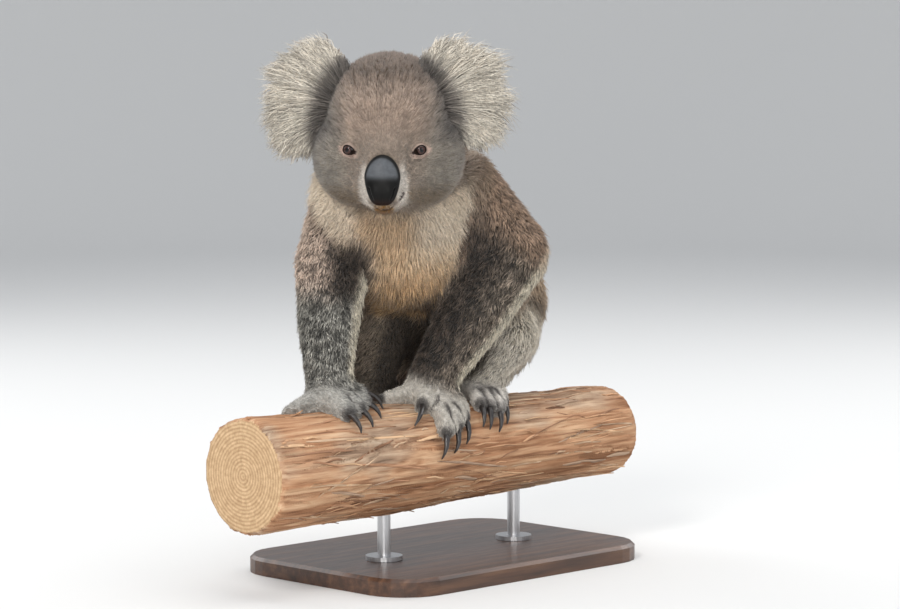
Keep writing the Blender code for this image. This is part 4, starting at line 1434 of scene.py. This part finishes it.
def finish_stand():
    shader = Shader("stained_wood", 0.38, Specular_IOR_Level=0.5, Coat_Weight=0.25, Coat_Roughness=0.25)
    grain = shader.fibres((9, 130, 130), 6, 0.6)
    pores = shader.fibres((60, 900, 900), 3)
    shader.colour(shader.ramp(grain, (0.28, (44, 28, 20)), (0.5, (76, 50, 35)), (0.72, (104, 72, 50))))
    shader.rough(pores, 0.3, 0.5)
    shader.bump(pores, 0.15, 0.0003)
    base = bevelled("stand_base", 1.2 * MM, 3, 25)
    dress("stand_base_wood", base, "base_wood", shader.material, "stand_base", sharp=30)

    steel = Shader("brushed_rod", 0.3, Metallic=1.0)
    lines = steel.noise(steel.places((1800, 1800, 26)), 1.0, 3)
    steel.colour(steel.ramp(lines, (0.3, (176, 176, 178)), (0.7, (206, 206, 208))))
    steel.rough(lines, 0.22, 0.4)
    for name in ("stand_rod_near", "stand_rod_far"):
        rod = bevelled(name, 0.5 * MM, 2, 40)
        dress(name + "_steel", rod, "rod_steel", steel.material, name, sharp=35)


# ---- Studio

CAMERA_DISTANCE = 3.0
CAMERA_PITCH = math.radians(5)
CAMERA_LENS = 130.0
AIM_HEIGHT = 0.244
LAMP_AIM = Vector((0, 0, 0.28))
FLOOR_RADIUS = 4.2
SWEEP = 1.6
SPOKES = 96
PAPER = (0.74, 0.74, 0.73, 1)
SKY = (0.92, 0.95, 1.0, 1)
# Each lamp's place, size, power and colour.
LAMPS = {
    "key": ((-0.9, -2.2, 1.8), 0.7, 36, (1.0, 0.975, 0.95)),
    "top": ((0.3, 0.2, 2.6), 2.2, 26, (1.0, 0.99, 0.98)),
    "fill": ((2.0, -2.0, 1.2), 1.8, 12, (1.0, 1.0, 1.0)),
    "front": ((-0.2, -2.7, 0.5), 1.0, 13, (1.0, 0.98, 0.95)),
    "rear_left": ((-1.7, 1.5, 1.5), 1.4, 20, (1.0, 1.0, 1.0)),
    "rear_right": ((1.9, 1.6, 1.5), 1.4, 20, (1.0, 1.0, 1.0)),
}


def make_floor():
    """A pale round floor that sweeps up far off on every side."""
    bends = [(math.sin(a), 1 - math.cos(a)) for a in np.linspace(0.1, math.pi / 2, 16)]
    rings = [(FLOOR_RADIUS, 0.0)] + [(FLOOR_RADIUS + SWEEP * out, SWEEP * up) for out, up in bends]
    turns = [2 * math.pi * spoke / SPOKES for spoke in range(SPOKES)]
    points = [(out * math.cos(turn), out * math.sin(turn), up) for out, up in rings for turn in turns]
    faces = [(0, 1 + spoke, 1 + (spoke + 1) % SPOKES) for spoke in range(SPOKES)]
    for ring in range(len(rings) - 1):
        faces += loft(1 + ring * SPOKES, SPOKES)
    mesh = mesh_from("studio_floor", [(0.0, 0.0, 0.0)] + points, faces)
    mesh.shade_smooth()
    mesh.materials.append(Shader("studio_paper", 0.9, Base_Color=PAPER).material)
    floor = linked(bpy.data.objects.new("studio_floor", mesh))


def aimed(name, data, spot, direction):
    thing = linked(bpy.data.objects.new(name, data))
    thing.location = spot
    thing.rotation_euler = direction.to_track_quat("-Z", "Y").to_euler()
    return thing


def make_studio():
    """The floor, an even sky, soft lamps and the camera, which looks from the photo's side."""
    make_floor()
    world = bpy.data.worlds.new("studio")
    world.use_nodes = True
    sky = world.node_tree.nodes["Background"].inputs
    sky["Color"].default_value = SKY
    sky["Strength"].default_value = 0.6
    SCENE.world = world
    SCENE.view_settings.view_transform = "Standard"
    for name, (spot, broad, power, colour) in LAMPS.items():
        data = bpy.data.lights.new(name, "AREA")
        data.size = broad
        data.energy = power
        data.color = colour
        aimed(name, data, spot, LAMP_AIM - Vector(spot))
    data = bpy.data.cameras.new("camera")
    data.lens = CAMERA_LENS
    data.sensor_width = 36
    back = Vector((0, -math.cos(CAMERA_PITCH), math.sin(CAMERA_PITCH)))
    aim = Vector((BRANCH_TOP[0], BRANCH_TOP[1], AIM_HEIGHT))
    SCENE.camera = aimed("camera", data, aim + back * CAMERA_DISTANCE, -back)


# ---- The whole

# The skin is painted darker than the coat above it: painted shade under the tufts.
SKIN_SHADE = 0.8


def main():
    skin = make_skin()
    coat = coat_material("coat_hair", 0.62, 0.15)
    hide = coat_material("hide", 0.85, 0.0)
    paint(skin.mesh, linear(markings_and_shade(skin.points, skin.normal, skin.weights)) * SKIN_SHADE)
    dress("skin", skin.mesh, "fur", hide, *LABELS)
    grow_coat(skin, flow_on(skin), coat)
    for name in EAR_ROOTS:
        make_ear(name, coat, hide)
    for side in SIDES:
        make_eye(side)
    make_nose()
    make_claws()
    make_ribbons(make_branch())
    finish_stand()
    make_studio()


main()
